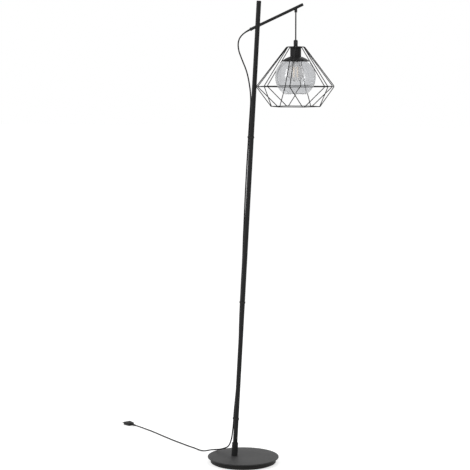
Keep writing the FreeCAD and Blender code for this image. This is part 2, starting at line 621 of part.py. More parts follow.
def cage_wire_path(k):
    """One bent wire: from the top plate over its shoulder, out to the equator, in to the low bend and back."""
    top, middle, low = size("wire_z"), size("wire_z - equator_drop"), size("wire_z - ring_drop")
    near, far, between = corner_angle(k), corner_angle(k + 1), corner_angle(k) + 30
    high, wide, tight = size("top_spacing / 2"), size("equator_spacing / 2"), size("ring_spacing / 2")
    inner, shoulder = size("socket_radius"), size("shoulder_radius")
    points = [
        cage_spot(near, inner, high, top), cage_spot(near, shoulder, high, top),
        cage_spot(near, size("equator_radius"), wide, middle),
        cage_spot(between, size("ring_radius"), -tight, low),
        cage_spot(between, size("ring_radius"), tight, low),
        cage_spot(far, size("equator_radius"), -wide, middle),
        cage_spot(far, shoulder, -high, top), cage_spot(far, inner, -high, top),
    ]
    bends = [size(b) for b in ("shoulder_bend", "equator_bend", "ring_bend")]
    return rounded_path(points, [0, bends[0], bends[1], bends[2], bends[2], bends[1], bends[0], 0])


def straight_rod(start, end, radius):
    return Part.makeCylinder(radius, (end - start).Length, start, end - start)


def make_cage():
    """The top plate, the six bent wires, and the straight rods welded between their bends."""
    blank = tube_piece("plate_blank", "plate_dia / 2", "nipple_dia / 2 + nipple_fit", "plate_thick")
    on_pendant(blank, "plate_z")
    wires, sockets = [], []
    for k in range(6):
        wires.append(tube_along(cage_wire_path(k), size("wire_dia / 2")))
        shaped(f"cage_wire_{k + 1}", wires[-1])
        for side in (-1, 1):
            aside = side * size("top_spacing / 2")
            ends = [cage_spot(corner_angle(k), size(reach), aside, size("wire_z"))
                    for reach in ("socket_radius", "plate_dia")]
            sockets.append(straight_rod(*ends, size("wire_dia / 2 + socket_fit")))
    cut("cage_top_plate", blank, [shaped("wire_sockets", Part.makeCompound(sockets))])
    all_wires = Part.makeCompound(wires)
    middle, low = size("wire_z - equator_drop"), size("wire_z - ring_drop")
    wide, tight, thick = size("equator_spacing / 2"), size("ring_spacing / 2"), size("rod_dia / 2")
    equator, ring = [], []
    for k in range(6):
        corner = [cage_spot(corner_angle(k), size("equator_radius"), side * wide, middle) for side in (-1, 1)]
        after = cage_spot(corner_angle(k + 1), size("equator_radius"), -wide, middle)
        equator += [welded_rod(corner[0], corner[1], thick, "equator_bend", all_wires),
                    welded_rod(corner[1], after, thick, "equator_bend", all_wires)]
        start = cage_spot(corner_angle(k) + 30, size("ring_radius"), tight, low)
        end = cage_spot(corner_angle(k + 1) + 30, size("ring_radius"), -tight, low)
        ring.append(welded_rod(start, end, thick, "ring_bend", all_wires))
    shaped("cage_equator_rods", Part.makeCompound(equator))
    shaped("cage_bottom_rods", Part.makeCompound(ring))


def welded_rod(start, end, radius, bend, wires):
    """A rod between two bends of the wires, moved in to where the bends pass, its ends coped to them."""
    axis = Vector(size("pendant_x"), 0, start.z)
    inset = size(bend) * 0.35
    ends = [p - (p - axis).normalize() * inset for p in (start, end)]
    coped = straight_rod(*ends, radius).cut(wires)
    return max(coped.Solids, key=lambda solid: solid.Volume)


# --------------------------------------------------------------------------- lampholder

def make_lampholder():
    """The metal cup, the insulating insert, its screw shell and terminals, and the ring under the glass."""
    outer, inner = "cup_dia / 2", "cup_dia / 2 - cup_wall"
    cup = turned("lampholder_cup", [
        (inner, "0"), (outer, "0"), (outer, "cup_height - cup_round"),
        (f"{outer} - cup_round", "cup_height", "cup_round", 1), ("nipple_dia / 2 + nipple_fit", "cup_height"),
        ("nipple_dia / 2 + nipple_fit", "cup_height - cup_wall"), (inner, "cup_height - cup_wall"),
    ])
    on_pendant(cup, "cup_z")
    thread, skirt = f"{inner} - holder_fit", "skirt_dia / 2"
    hole = "shell_dia / 2 + shell_wall + holder_fit"
    step = "insert_len - insert_thread_len"
    insert = turned("lampholder_insert", [
        (hole, "0"), (skirt, "0"), (skirt, step), (thread, step), (thread, "insert_len"), ("0", "insert_len"),
        ("0", "insert_len - insert_floor"), (hole, "insert_len - insert_floor"),
    ])
    on_pendant(insert, "insert_z")
    shell = tube_piece("lampholder_shell", "shell_dia / 2 + shell_wall", "shell_dia / 2", "shell_len")
    on_pendant(shell, "insert_z + insert_len - insert_floor - insulator_len - shell_len")
    tongue = doc.addObject("Part::Box", "lampholder_tongue")
    for name, words in (("Length", "tongue_len"), ("Width", "tongue_width"), ("Height", "tongue_thick")):
        tongue.setExpression(name, bound(words))
    place(tongue, ("pendant_x - tongue_len / 2", "0 - tongue_width / 2",
                   "insert_z + insert_len - insert_floor - tongue_thick - bulb_gap / 2"))
    ring = turned("lampholder_ring", [
        ("skirt_dia / 2 + holder_fit", "0"), ("ring_dia / 2 - ring_tall / 4", "0"),
        ("ring_dia / 2", "ring_tall / 4"), ("ring_dia / 2", "ring_tall"),
        ("skirt_dia / 2 + holder_fit", "ring_tall"),
    ])
    on_pendant(ring, "globe_z + sqrt(glass_in * glass_in - ring_dia * ring_dia / 4) - holder_fit - ring_tall")
    screws = []
    for side in (-1, 1):
        screw = drill(f"terminal_{side}", "terminal_dia / 2", "terminal_tall")
        screws.append(place(screw, ("pendant_x", f"{side} * terminal_radius", "insert_z + insert_len")))
    group("terminal_screws", screws)
    make_holder_leads()


def make_holder_leads():
    """Two leads from the end of the pendant cable, down the nipple and out to the terminals."""
    x, radius = size("pendant_x"), size("lead_dia / 2")
    top = size("grip_z + grip_socket - cable_tail - 0.3")
    stop_y = size("terminal_radius - terminal_dia / 2 - 0.1")
    solids = []
    for side in (-1, 1):
        y = side * size("lead_spread")
        level = size("insert_z + insert_len") + radius + 0.2
        points = [Vector(x, y, top), Vector(x, y, level), Vector(x, side * stop_y, level)]
        solids.append(tube_along(rounded_path(points, [0, 3 * radius, 0]), radius))
    shaped("holder_leads", Part.makeCompound(solids))


# --------------------------------------------------------------------------- globe

def on_sphere(radius, across):
    """How far above a sphere's centre the sphere stands at a distance across from its axis."""
    return f"sqrt(({radius}) * ({radius}) - ({across}) * ({across}))"


def make_globe():
    """The dish on top, the gasket and the open glass globe, all round one centre."""
    outer, inner = "dish_radius", "dish_radius - dish_wall"
    edge, hole, lip = "dish_dia / 2", "dish_hole_dia / 2", "(dish_dia - dish_wall) / 2"
    dish = turned("dish_cap", [
        (edge, on_sphere(outer, edge)), (hole, on_sphere(outer, hole), outer, 1),
        (hole, on_sphere(inner, hole)), (lip, on_sphere(inner, lip), inner, -1),
    ])
    on_pendant(dish, "globe_z")
    low, high = "globe_dia / 2 + holder_fit", "dish_radius - dish_wall - holder_fit"
    wide, tight = "gasket_out_dia / 2", "gasket_in_dia / 2"
    gasket = turned("globe_gasket", [
        (wide, on_sphere(high, wide)), (tight, on_sphere(high, tight), high, 1),
        (tight, on_sphere(low, tight)), (wide, on_sphere(low, wide), low, -1),
    ])
    on_pendant(gasket, "globe_z")
    shell, bore, neck = "globe_dia / 2", "glass_in", "neck_dia / 2"
    mouth_out, mouth_in = on_sphere(shell, "mouth_drop"), on_sphere(bore, "mouth_drop")
    globe = turned("glass_globe", [
        (mouth_out, "0"), (neck, f"mouth_drop + {on_sphere(shell, neck)}", shell, 1),
        (neck, f"mouth_drop + {on_sphere(bore, neck)}"), (mouth_in, "0", bore, -1),
    ])
    on_pendant(globe, "globe_z - mouth_drop")


# --------------------------------------------------------------------------- bulb

def make_bulb():
    """The bulb: screw base, insulator with its centre contact, pear-shaped glass, stem and four filaments."""
    thread, inner = "bulb_base_dia / 2", "bulb_base_dia / 2 - bulb_base_wall"
    base_z = "bulb_top_z - bulb_len + bulb_base_low"
    on_pendant(tube_piece("bulb_base", thread, inner, "bulb_base_len"), base_z)
    insulator = turned("bulb_insulator", [
        ("0", "0"), (thread, "0"), ("insulator_dia / 2", "insulator_len"), ("tip_dia / 2", "insulator_len"),
        ("tip_dia / 2 - tip_len / 2", "insulator_len + tip_len"), ("0", "insulator_len + tip_len"),
    ])
    on_pendant(insulator, "bulb_top_z - tip_len - insulator_len")
    big, wall, neck = "bulb_big", "bulb_wall", "bulb_neck"
    neck_top = "bulb_base_low + bulb_neck_in"
    waist = "bulb_base_low - bulb_waist"

    def shoulder(radius):
        """Where the round end of a glass surface of this radius runs into its flank."""
        return (f"({radius}) * (bulb_neck + flank) / (bulb_big + flank)",
                f"bulb_big + ({radius}) * waist_rise / (bulb_big + flank)")

    envelope = turned("bulb_envelope", [
        ("0", "0"), (*shoulder(big), big, 1), (neck, waist, "flank", -1), (neck, neck_top),
        (f"{neck} - {wall}", neck_top), (f"{neck} - {wall}", waist),
        (*shoulder(f"{big} - {wall}"), f"flank + {wall}", 1), ("0", wall, f"{big} - {wall}", -1),
    ])
    on_pendant(envelope, "bulb_top_z - bulb_len")
    low_star = f"{big} + 2 - filament_len / 2"
    high_star = f"{low_star} + filament_len"
    rod, star = "stem_rod_dia / 2", "star_dia / 2"
    stem = turned("bulb_stem", [
        ("0", low_star), (star, low_star), (star, f"{low_star} + star_thick"),
        (rod, f"{low_star} + star_thick"),
        (rod, f"{high_star} - star_thick"), (star, f"{high_star} - star_thick"), (star, high_star),
        ("stem_dia / 2", high_star), (f"{neck} - {wall} - holder_fit", neck_top), ("0", neck_top),
    ])
    on_pendant(stem, "bulb_top_z - bulb_len")
    rods = []
    for k in range(4):
        rod = rod_piece(f"filament_{k}", "filament_dia / 2", "filament_len - 2 * star_thick - 2 * holder_fit")
        turn = 90 * k + 45
        spot = (f"pendant_x + filament_circle / 2 * cos({turn})", f"filament_circle / 2 * sin({turn})",
                f"bulb_top_z - bulb_len + {low_star} + star_thick + holder_fit")
        rods.append(place(rod, spot))
    group("bulb_filaments", rods)


# --------------------------------------------------------------------------- mains cord and plug

def cord_points():
    """The route's points, from the entry bush's face to the plug's strain relief."""
    rise = math.radians(size("arm_rise"))
    along = Vector(math.cos(rise), 0, math.sin(rise))
    start = Vector(size("arm_x"), 0, size("arm_z")) - along * size("arm_back")
    return [start] + [Vector(*p) for p in CORD_ROUTE]


def make_cord():
    """The mains cord: straight runs joined by arcs as large as the runs allow."""
    points = cord_points()
    runs = [(b - a).Length for a, b in zip(points, points[1:])]
    radii = [0.0] * len(points)
    for i in range(1, len(points) - 1):
        turn = (points[i] - points[i - 1]).getAngle(points[i + 1] - points[i])
        radii[i] = 0.45 * min(runs[i - 1], runs[i]) / math.tan(turn / 2)
    path = rounded_path(points, radii)
    cord = tube_along(path, size("cord_dia / 2"))
    section = math.pi * size("cord_dia / 2") ** 2
    print("cord radii:", " ".join(f"{r:.0f}" for r in radii[1:-1]))
    print(f"cord length {path.Length:.0f}, longest run {max(runs):.1f}, "
          f"volume over section x length {cord.Volume / section / path.Length:.4f}")
    shaped("feed_cord", cord)


def make_plug():
    """The two-pin plug at the cord's end, lying flat on the floor, with its ribbed strain relief."""
    last, before = Vector(*CORD_ROUTE[-1]), Vector(*CORD_ROUTE[-2])
    way = Vector(last.x - before.x, last.y - before.y, 0).normalize()
    upright = FreeCAD.Rotation(Vector(-way.y, way.x, 0), Z_AXIS, way, "ZYX")

    def lay(piece, ahead, aside=0.0):
        spot = last + way * ahead + Vector(-way.y, way.x, 0) * aside
        piece.Placement = FreeCAD.Placement(spot, upright)
        return piece

    corners = [("0", "0"), ("relief_small_dia / 2", "0")]
    count = int(size("rib_count"))
    for k in range(count):
        share = f"(relief_small_dia + (relief_big_dia - relief_small_dia) * {k + 1} / {count + 1}) / 2"
        at = f"relief_len * {k + 1} / {count + 1} - rib_gap / 2"
        corners += [(share, at), (f"{share} - rib_depth", at), (f"{share} - rib_depth", f"{at} + rib_gap"),
                    (share, f"{at} + rib_gap")]
    corners += [("relief_big_dia / 2", "relief_len"), ("0", "relief_len")]
    lay(turned("plug_relief", corners), 0)
    block = doc.addObject("Part::Box", "plug_block")
    for name, words in (("Length", "plug_wide"), ("Width", "plug_thick"), ("Height", "plug_len")):
        block.setExpression(name, bound(words))
    lay(block, size("relief_len"), 0)
    middle = Vector(size("plug_wide / 2"), size("plug_thick / 2"), 0)
    block.Placement.Base = block.Placement.Base - upright.multVec(middle)
    doc.recompute()
    body = doc.addObject("Part::Fillet", "plug_body")
    body.Base = block
    body.Edges = [(i + 1, size("plug_round"), size("plug_round")) for i in range(len(block.Shape.Edges))]
    pins = []
    for side in (-1, 1):
        pin = turned(f"pin_{side}", [
            ("0", "0"), ("pin_dia / 2", "0"), ("pin_dia / 2", "pin_len - pin_dia / 2"),
            ("0", "pin_len", "pin_dia / 2", 1),
        ])
        pins.append(lay(pin, size("relief_len + plug_len"), side * size("pin_spacing / 2")))
    group("plug_pins", pins)


# --------------------------------------------------------------------------- build, check and write

NODES = [
    "base_pad", "base_weight", "base_cover", "foot_bolt", "foot_washer", "pole_foot_insert", "foot_sleeve",
    "sleeve_screw", "pole_lower", "pole_middle", "pole_upper", "pole_joiner_lower", "pole_joiner_upper",
    "pole_top_cap", "arm_clamp_plug", "arm_grub_screw", "cord_clip_low", "cord_clip_middle", "cord_clip_top",
    "arm_tube", "arm_entry_bush", "arm_end_cap", "arm_cable", "arm_leads", "arm_gland", "gland_grommet",
    "pendant_cable", "cord_grip", "cord_grip_screw", "cord_nipple", "nipple_nut", "cage_top_plate",
    "cage_wire_1", "cage_wire_2", "cage_wire_3", "cage_wire_4", "cage_wire_5", "cage_wire_6",
    "cage_equator_rods", "cage_bottom_rods", "lampholder_cup", "lampholder_insert", "lampholder_shell",
    "lampholder_tongue", "lampholder_ring", "terminal_screws", "holder_leads", "dish_cap", "globe_gasket",
    "glass_globe", "bulb_base", "bulb_insulator", "bulb_envelope", "bulb_stem", "bulb_filaments",
    "feed_cord", "plug_relief", "plug_body", "plug_pins",
]


def check(piece):
    """Stop on a piece that failed or whose shape isn't sound."""
    shape = piece.Shape
    if shape.isNull() or not shape.isValid() or not shape.Solids or shape.Volume <= 0:
        raise RuntimeError(f"{piece.Label}: its shape isn't a sound solid")


def main():
    fill_sheet()
    make_base()
    make_foot()
    make_pole()
    make_clips()
    make_arm()
    make_gland()
    make_arm_leads()
    make_cable()
    make_cage()
    make_lampholder()
    make_globe()
    make_bulb()
    make_cord()
    make_plug()
    doc.recompute()
    failed = [o.Label for o in doc.Objects if {"Invalid", "Error"} & set(o.State)]
    if failed:
        raise RuntimeError(f"failed objects: {failed}")
    pieces = {o.Label: o for o in doc.Objects}
    os.makedirs("parts", exist_ok=True)
    for node in NODES:
        check(pieces[node])
    for node in NODES:
        pieces[node].Shape.exportStep(f"parts/{node}.step")
    print(f"{len(NODES)} nodes written")


main()
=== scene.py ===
"""The looks of the wire cage floor lamp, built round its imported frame.

Metres. The origin is the centre of the base's underside, on the floor. +Z is up and +X is the way the arm
points; the pole, the arm and the shade's axis all lie in the plane Y = 0. Pieces are turned, bent and moulded
here as the real ones are, and ride on the frame's bodies.
"""

from __future__ import annotations

import logging
import math
from collections.abc import Callable, Iterable, Sequence
from dataclasses import dataclass, field
from enum import Enum

import bmesh
import bpy
from mathutils import Matrix, Vector

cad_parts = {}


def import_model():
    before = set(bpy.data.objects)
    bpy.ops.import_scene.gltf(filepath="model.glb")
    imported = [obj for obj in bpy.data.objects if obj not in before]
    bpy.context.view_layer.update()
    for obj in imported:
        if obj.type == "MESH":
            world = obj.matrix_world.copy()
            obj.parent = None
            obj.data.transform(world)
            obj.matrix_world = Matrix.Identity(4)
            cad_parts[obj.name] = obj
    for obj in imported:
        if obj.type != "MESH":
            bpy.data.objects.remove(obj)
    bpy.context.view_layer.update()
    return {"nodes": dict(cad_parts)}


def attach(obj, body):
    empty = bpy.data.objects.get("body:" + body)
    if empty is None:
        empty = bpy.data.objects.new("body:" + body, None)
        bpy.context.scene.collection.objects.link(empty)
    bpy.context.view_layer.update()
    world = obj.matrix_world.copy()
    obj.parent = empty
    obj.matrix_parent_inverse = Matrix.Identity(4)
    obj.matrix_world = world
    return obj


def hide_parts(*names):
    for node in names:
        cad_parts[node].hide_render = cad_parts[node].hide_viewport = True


LOG = logging.getLogger("cage_lamp")
MM = 0.001
FULL_TURN = 2 * math.pi
QUARTER_TURN = math.pi / 2
SHARP_ANGLE = math.radians(34)
MERGE_DISTANCE = 1e-6
MIDDLE = (0.0, 0.0)
ORIGIN = (0.0, 0.0, 0.0)
WHITE = (1.0, 1.0, 1.0)
OPAQUE_WHITE = (*WHITE, 1.0)

BMesh = bmesh.types.BMesh
Socket = bpy.types.NodeSocket
Thing = bpy.types.Object
Triple = tuple[float, float, float]
Point = tuple[float, float]
Outline = list[Point]
Inputs = dict[str | int, object]


class Body(Enum):
    """The bodies of the frame that new pieces ride on."""

    STAND = "stand"
    CABLE = "cable"
    SHADE = "shade"
    BULB = "bulb"


class Slot(Enum):
    """The material slots that the finishes belong to."""

    COVER = "cover_paint"
    IRON = "weight_iron"
    FELT = "pad_felt"
    ZINC = "zinc_steel"
    SCREW = "black_screw"
    METAL = "black_metal"
    PLASTIC = "black_plastic"
    SOFT = "soft_black"
    SHEATH = "cable_sheath"
    LEADS = "lead_sheath"
    BRASS = "contact_brass"
    NICKEL = "pin_nickel"
    SMOKED = "smoked_glass"
    CLEAR = "bulb_glass"
    CAP = "bulb_cap_metal"
    INSULATOR = "bulb_insulator_black"
    FILAMENT = "filament_coat"


# --- node groups


class NodeTree:
    """Short ways to add and link the nodes of one tree."""

    def __init__(self, tree: bpy.types.NodeTree) -> None:
        """Take a material's, a world's or a group's node tree."""
        self.tree = tree

    def feed(self, node: bpy.types.Node, inputs: Inputs) -> None:
        """Give a node's inputs what they take.

        Args:
            node: The node.
            inputs: Plain values, or sockets to link.
        """
        for name, value in inputs.items():
            if isinstance(value, Socket):
                self.tree.links.new(value, node.inputs[name])
            else:
                node.inputs[name].default_value = value

    def add(self, kind: str, inputs: Inputs | None = None, **settings: object) -> bpy.types.Node:
        """Add a node.

        Args:
            kind: The node's class name.
            inputs: Plain values or sockets for its inputs.
            settings: Values of the node's own properties.

        Returns:
            The new node.
        """
        node = self.tree.nodes.new(kind)
        for name, value in settings.items():
            setattr(node, name, value)
        self.feed(node, inputs or {})
        return node

    def calc(self, operation: str, *values: object, clamp: bool = False) -> Socket:
        """The result of a math node, from its inputs in order."""
        return self.add("ShaderNodeMath", dict(enumerate(values)), operation=operation, use_clamp=clamp).outputs[0]

    def noise(self, place: Socket, scale: object, detail: float, roughness: float = 0.5) -> Socket:
        """The value of a noise texture, from 0 to 1."""
        inputs = {"Vector": place, "Scale": scale, "Detail": detail, "Roughness": roughness}
        return self.add("ShaderNodeTexNoise", inputs).outputs["Fac"]

    def remap(self, value: Socket, start: Point, goal: Point = (0.0, 1.0)) -> Socket:
        """A value moved from one range to another, and kept inside it."""
        inputs = {"Value": value, "From Min": start[0], "From Max": start[1], "To Min": goal[0], "To Max": goal[1]}
        return self.add("ShaderNodeMapRange", inputs).outputs["Result"]

    def blend(self, share: Socket, first: object, second: object) -> Socket:
        """A colour between two, where a share of 0 gives the first."""
        return self.add("ShaderNodeMix", {0: share, 6: first, 7: second}, data_type="RGBA").outputs[2]


class EffectGroup:
    """A shader node group with named inputs and outputs, built once."""

    def __init__(self, name: str, inputs: dict[str, tuple[str, object]], outputs: dict[str, str]) -> None:
        """Make the group and its sockets.

        Args:
            name: The group's name.
            inputs: Each input's socket type and default value.
            outputs: Each output's socket type.
        """
        self.tree = bpy.data.node_groups.new(name, "ShaderNodeTree")
        for label, (kind, value) in inputs.items():
            socket = self.tree.interface.new_socket(name=label, in_out="INPUT", socket_type=kind)
            socket.default_value = value
        for label, kind in outputs.items():
            self.tree.interface.new_socket(name=label, in_out="OUTPUT", socket_type=kind)
        self.nodes = NodeTree(self.tree)
        self.entry = self.nodes.add("NodeGroupInput").outputs
        self.exit = self.nodes.add("NodeGroupOutput")

    def place(self, nodes: NodeTree, inputs: Inputs) -> bpy.types.bpy_prop_collection:
        """Put the group into a material's tree with its own values, and return its outputs."""
        return nodes.add("ShaderNodeGroup", inputs, node_tree=self.tree).outputs


FLOAT, COLOUR, VECTOR = "NodeSocketFloat", "NodeSocketColor", "NodeSocketVector"
TONE_SPAN = (0.3, 0.7)
COARSE_SHARE = 0.13
COARSE_WEIGHT = 0.6
GRAIN_MIDDLE = 0.8
DUST_TONE = (0.34, 0.33, 0.32, 1.0)
DUST_SLOPES = (0.35, 0.95)
DUST_SPECKS = (0.42, 0.72)
DUST_PATCHES = (0.15, 1.0)
DUST_ROUGHENING = 0.5


def wander_group() -> EffectGroup:
    """A colour that wanders slowly between two tones over the surface.

    Returns:
        The group.
    """
    group = EffectGroup(
        "tone_wander",
        {"Place": (VECTOR, ORIGIN), "First": (COLOUR, OPAQUE_WHITE), "Second": (COLOUR, OPAQUE_WHITE),
         "Scale": (FLOAT, 20.0)},
        {"Colour": COLOUR},
    )
    nodes, entry = group.nodes, group.entry
    tone = nodes.remap(nodes.noise(entry["Place"], entry["Scale"], detail=5.0), TONE_SPAN)
    nodes.feed(group.exit, {"Colour": nodes.blend(tone, entry["First"], entry["Second"])})
    return group


def grain_group() -> EffectGroup:
    """The fine grain of a coat or a moulded skin: a height, and a roughness that follows it.

    Returns:
        The group.
    """
    group = EffectGroup(
        "surface_grain",
        {"Place": (VECTOR, ORIGIN), "Scale": (FLOAT, 900.0), "Roughness": (FLOAT, 0.5), "Spread": (FLOAT, 0.1)},
        {"Height": FLOAT, "Roughness": FLOAT},
    )
    nodes, entry = group.nodes, group.entry
    fine = nodes.noise(entry["Place"], entry["Scale"], detail=3.0)
    coarse = nodes.noise(entry["Place"], nodes.calc("MULTIPLY", entry["Scale"], COARSE_SHARE), detail=2.0)
    height = nodes.calc("MULTIPLY_ADD", coarse, COARSE_WEIGHT, fine)
    centred = nodes.calc("SUBTRACT", height, GRAIN_MIDDLE)
    rough = nodes.calc("MULTIPLY_ADD", centred, entry["Spread"], entry["Roughness"], clamp=True)
    nodes.feed(group.exit, {"Height": height, "Roughness": rough})
    return group


def dust_group() -> EffectGroup:
    """Thin dust that settles in patches on what faces up.

    Returns:
        The group.
    """
    group = EffectGroup(
        "settled_dust",
        {"Place": (VECTOR, ORIGIN), "Amount": (FLOAT, 0.1), "Colour": (COLOUR, OPAQUE_WHITE),
         "Roughness": (FLOAT, 0.5)},
        {"Colour": COLOUR, "Roughness": FLOAT},
    )
    nodes, entry = group.nodes, group.entry
    normal = nodes.add("ShaderNodeNewGeometry").outputs["Normal"]
    upright = nodes.add("ShaderNodeSeparateXYZ", {0: normal}).outputs["Z"]
    specks = nodes.noise(entry["Place"], scale=55.0, detail=9.0, roughness=0.72)
    patches = nodes.remap(specks, DUST_SPECKS, DUST_PATCHES)
    cover = nodes.calc("MULTIPLY", nodes.remap(upright, DUST_SLOPES), patches)
    mask = nodes.calc("MULTIPLY", cover, entry["Amount"])
    rough = nodes.calc("MULTIPLY_ADD", mask, DUST_ROUGHENING, entry["Roughness"], clamp=True)
    nodes.feed(group.exit, {"Colour": nodes.blend(mask, entry["Colour"], DUST_TONE), "Roughness": rough})
    return group


@dataclass
class Effects:
    """The shared effects, each a node group."""

    wander: EffectGroup = field(default_factory=wander_group)
    grain: EffectGroup = field(default_factory=grain_group)
    dust: EffectGroup = field(default_factory=dust_group)


# --- finishes


class Canvas:
    """A new material: its nodes, its shader, and the place of a point on the object."""

    def __init__(self, name: str) -> None:
        """Make the material.

        Args:
            name: The material's name.
        """
        self.material = bpy.data.materials.new(name)
        self.material.use_nodes = True
        tree = self.material.node_tree
        self.nodes = NodeTree(tree)
        self.shader = tree.nodes["Principled BSDF"]
        self.output = tree.nodes["Material Output"]
        self.place = self.nodes.add("ShaderNodeTexCoord").outputs["Object"]

    def wander(self, effects: Effects, first: Triple, second: Triple, scale: float) -> Socket:
        """The colour that wanders between two tones."""
        inputs = {"Place": self.place, "First": (*first, 1), "Second": (*second, 1), "Scale": scale}
        return effects.wander.place(self.nodes, inputs)["Colour"]

    def bump(self, height: Socket, depth: float) -> Socket:
        """The normal of a surface with this height in it."""
        return self.nodes.add("ShaderNodeBump", {"Height": height, "Distance": depth}).outputs["Normal"]


@dataclass(frozen=True)
class Finish:
    """A surface of the lamp."""

    name: str
    slot: Slot

    def build(self, effects: Effects) -> bpy.types.Material:
        """Make the material.

        Args:
            effects: The shared node groups.

        Returns:
            The finished material.
        """
        canvas = Canvas(self.name)
        canvas.nodes.feed(canvas.shader, self.shader_inputs(canvas, effects))
        return canvas.material

    def shader_inputs(self, canvas: Canvas, effects: Effects) -> Inputs:
        """What each kind of finish gives its shader."""
        raise NotImplementedError


@dataclass(frozen=True)
class Coat(Finish):
    """A painted, plated or moulded surface: two tones, a fine grain, and dust on what faces up."""

    tone: Triple
    second_tone: Triple
    roughness: float
    spread: float = 0.12
    metallic: float = 0.0
    specular: float = 0.5
    grain_scale: float = 900.0
    grain_depth: float = 0.03 * MM
    grain_stretch: Triple = WHITE
    tone_scale: float = 18.0
    dust: float = 0.0
    coat: float = 0.0
    sheen: float = 0.0
    sheen_roughness: float = 0.6

    def shader_inputs(self, canvas: Canvas, effects: Effects) -> Inputs:
        """Tone, grain and dust, one on the other.

        Args:
            canvas: The new material.
            effects: The shared node groups.

        Returns:
            The shader's inputs.
        """
        nodes, place = canvas.nodes, canvas.place
        colour = canvas.wander(effects, self.tone, self.second_tone, self.tone_scale)
        stretched = nodes.add("ShaderNodeMapping", {"Vector": place, "Scale": self.grain_stretch}).outputs["Vector"]
        grain = effects.grain.place(nodes, {"Place": stretched, "Scale": self.grain_scale,
                                            "Roughness": self.roughness, "Spread": self.spread})
        roughness = grain["Roughness"]
        if self.dust:
            dust = effects.dust.place(nodes, {"Place": place, "Amount": self.dust, "Colour": colour,
                                              "Roughness": roughness})
            colour, roughness = dust["Colour"], dust["Roughness"]
        return {"Base Color": colour, "Roughness": roughness, "Metallic": self.metallic,
                "Normal": canvas.bump(grain["Height"], self.grain_depth), "Specular IOR Level": self.specular,
                "Coat Weight": self.coat, "Sheen Weight": self.sheen, "Sheen Roughness": self.sheen_roughness}


@dataclass(frozen=True)
class Glass(Finish):
    """A blown glass with its tint in the wall's depth and a faint waviness."""

    tint: Triple
    density: float
    roughness: float
    wave_depth: float
    wave_scale: float = 22.0
    index: float = 1.47
    cloud_tone: Triple = (0.97, 0.975, 0.98)
    cloud_scale: float = 14.0

    def shader_inputs(self, canvas: Canvas, effects: Effects) -> Inputs:
        """Clear glass with waves, and the tint that its wall takes from the light.

        Args:
            canvas: The new material.
            effects: The shared node groups.

        Returns:
            The shader's inputs.
        """
        tint = {"Color": (*self.tint, 1), "Density": self.density}
        smoke = canvas.nodes.add("ShaderNodeVolumeAbsorption", tint).outputs["Volume"]
        canvas.nodes.feed(canvas.output, {"Volume": smoke})
        grain = effects.grain.place(canvas.nodes, {"Place": canvas.place, "Scale": self.wave_scale,
                                                   "Roughness": self.roughness, "Spread": self.roughness})
        return {"Base Color": canvas.wander(effects, WHITE, self.cloud_tone, self.cloud_scale),
                "Roughness": grain["Roughness"], "Normal": canvas.bump(grain["Height"], self.wave_depth),
                "Transmission Weight": 1.0, "IOR": self.index}


@dataclass(frozen=True)
class PaintedGlowCoat(Finish):
    """The pale warm coat of the filament rods, with a faint painted glow that makes them read brighter."""

    tone: Triple
    second_tone: Triple
    glow: float
    tone_scale: float = 700.0
    roughness: float = 0.6

    def shader_inputs(self, canvas: Canvas, effects: Effects) -> Inputs:
        """One wandering colour for the coat and for its painted glow."""
        colour = canvas.wander(effects, self.tone, self.second_tone, self.tone_scale)
        # The emission is a painted glow that brightens the rods beyond their lit colour.
        return {"Base Color": colour, "Emission Color": colour, "Emission Strength": self.glow,
                "Roughness": self.roughness}


SATIN_BLACK = Coat("satin_black_coat", Slot.METAL, (0.0105, 0.0105, 0.011), (0.0150, 0.0150, 0.0155), 0.56,
                   specular=0.16, grain_scale=1100, grain_depth=0.022 * MM, dust=0.02)
BASE_BLACK = Coat("charcoal_base_coat", Slot.COVER, (0.018, 0.018, 0.019), (0.025, 0.025, 0.026), 0.60,
                  specular=0.30, grain_depth=0.045 * MM, tone_scale=9, dust=0.06)
CAST_IRON = Coat("black_cast_iron", Slot.IRON, (0.010, 0.010, 0.010), (0.017, 0.016, 0.015), 0.62,
                 specular=0.2, grain_scale=420, grain_depth=0.16 * MM, metallic=0.1)
PAD_FELT = Coat("black_felt", Slot.FELT, (0.012, 0.012, 0.013), (0.026, 0.025, 0.025), 0.95, sheen=0.35,
                grain_scale=1500, grain_depth=0.25 * MM, tone_scale=60)
ZINC = Coat("zinc_steel", Slot.ZINC, (0.46, 0.47, 0.48), (0.58, 0.58, 0.57), 0.34, metallic=1.0, tone_scale=90,
            grain_scale=700, grain_depth=0.012 * MM)
BLACK_SCREW = Coat("black_oxide_screw", Slot.SCREW, (0.014, 0.014, 0.015), (0.028, 0.027, 0.026), 0.36,
                   metallic=0.6, tone_scale=220, grain_scale=1600, grain_depth=0.01 * MM)
BLACK_PLASTIC = Coat("moulded_black_plastic", Slot.PLASTIC, (0.012, 0.012, 0.0125), (0.016, 0.016, 0.016), 0.40,
                     spread=0.16, specular=0.2, grain_scale=1500, grain_depth=0.018 * MM, tone_scale=30,
                     dust=0.015)
SOFT_BLACK = Coat("soft_black_rubber", Slot.SOFT, (0.016, 0.016, 0.016), (0.024, 0.024, 0.023), 0.66,
                  specular=0.2, grain_scale=1300, grain_depth=0.02 * MM, tone_scale=45)
SHEATH = Coat("cable_sheath", Slot.SHEATH, (0.010, 0.010, 0.0105), (0.015, 0.015, 0.0155), 0.62,
              specular=0.16, grain_scale=1700, grain_depth=0.015 * MM, tone_scale=35)
LEAD_SHEATH = Coat("lead_sheath", Slot.LEADS, (0.20, 0.11, 0.055), (0.25, 0.15, 0.08), 0.42, grain_scale=1500,
                   grain_depth=0.01 * MM)
BRASS = Coat("contact_brass", Slot.BRASS, (0.72, 0.52, 0.24), (0.80, 0.61, 0.32), 0.28, metallic=1.0,
             grain_depth=0.01 * MM, tone_scale=120)
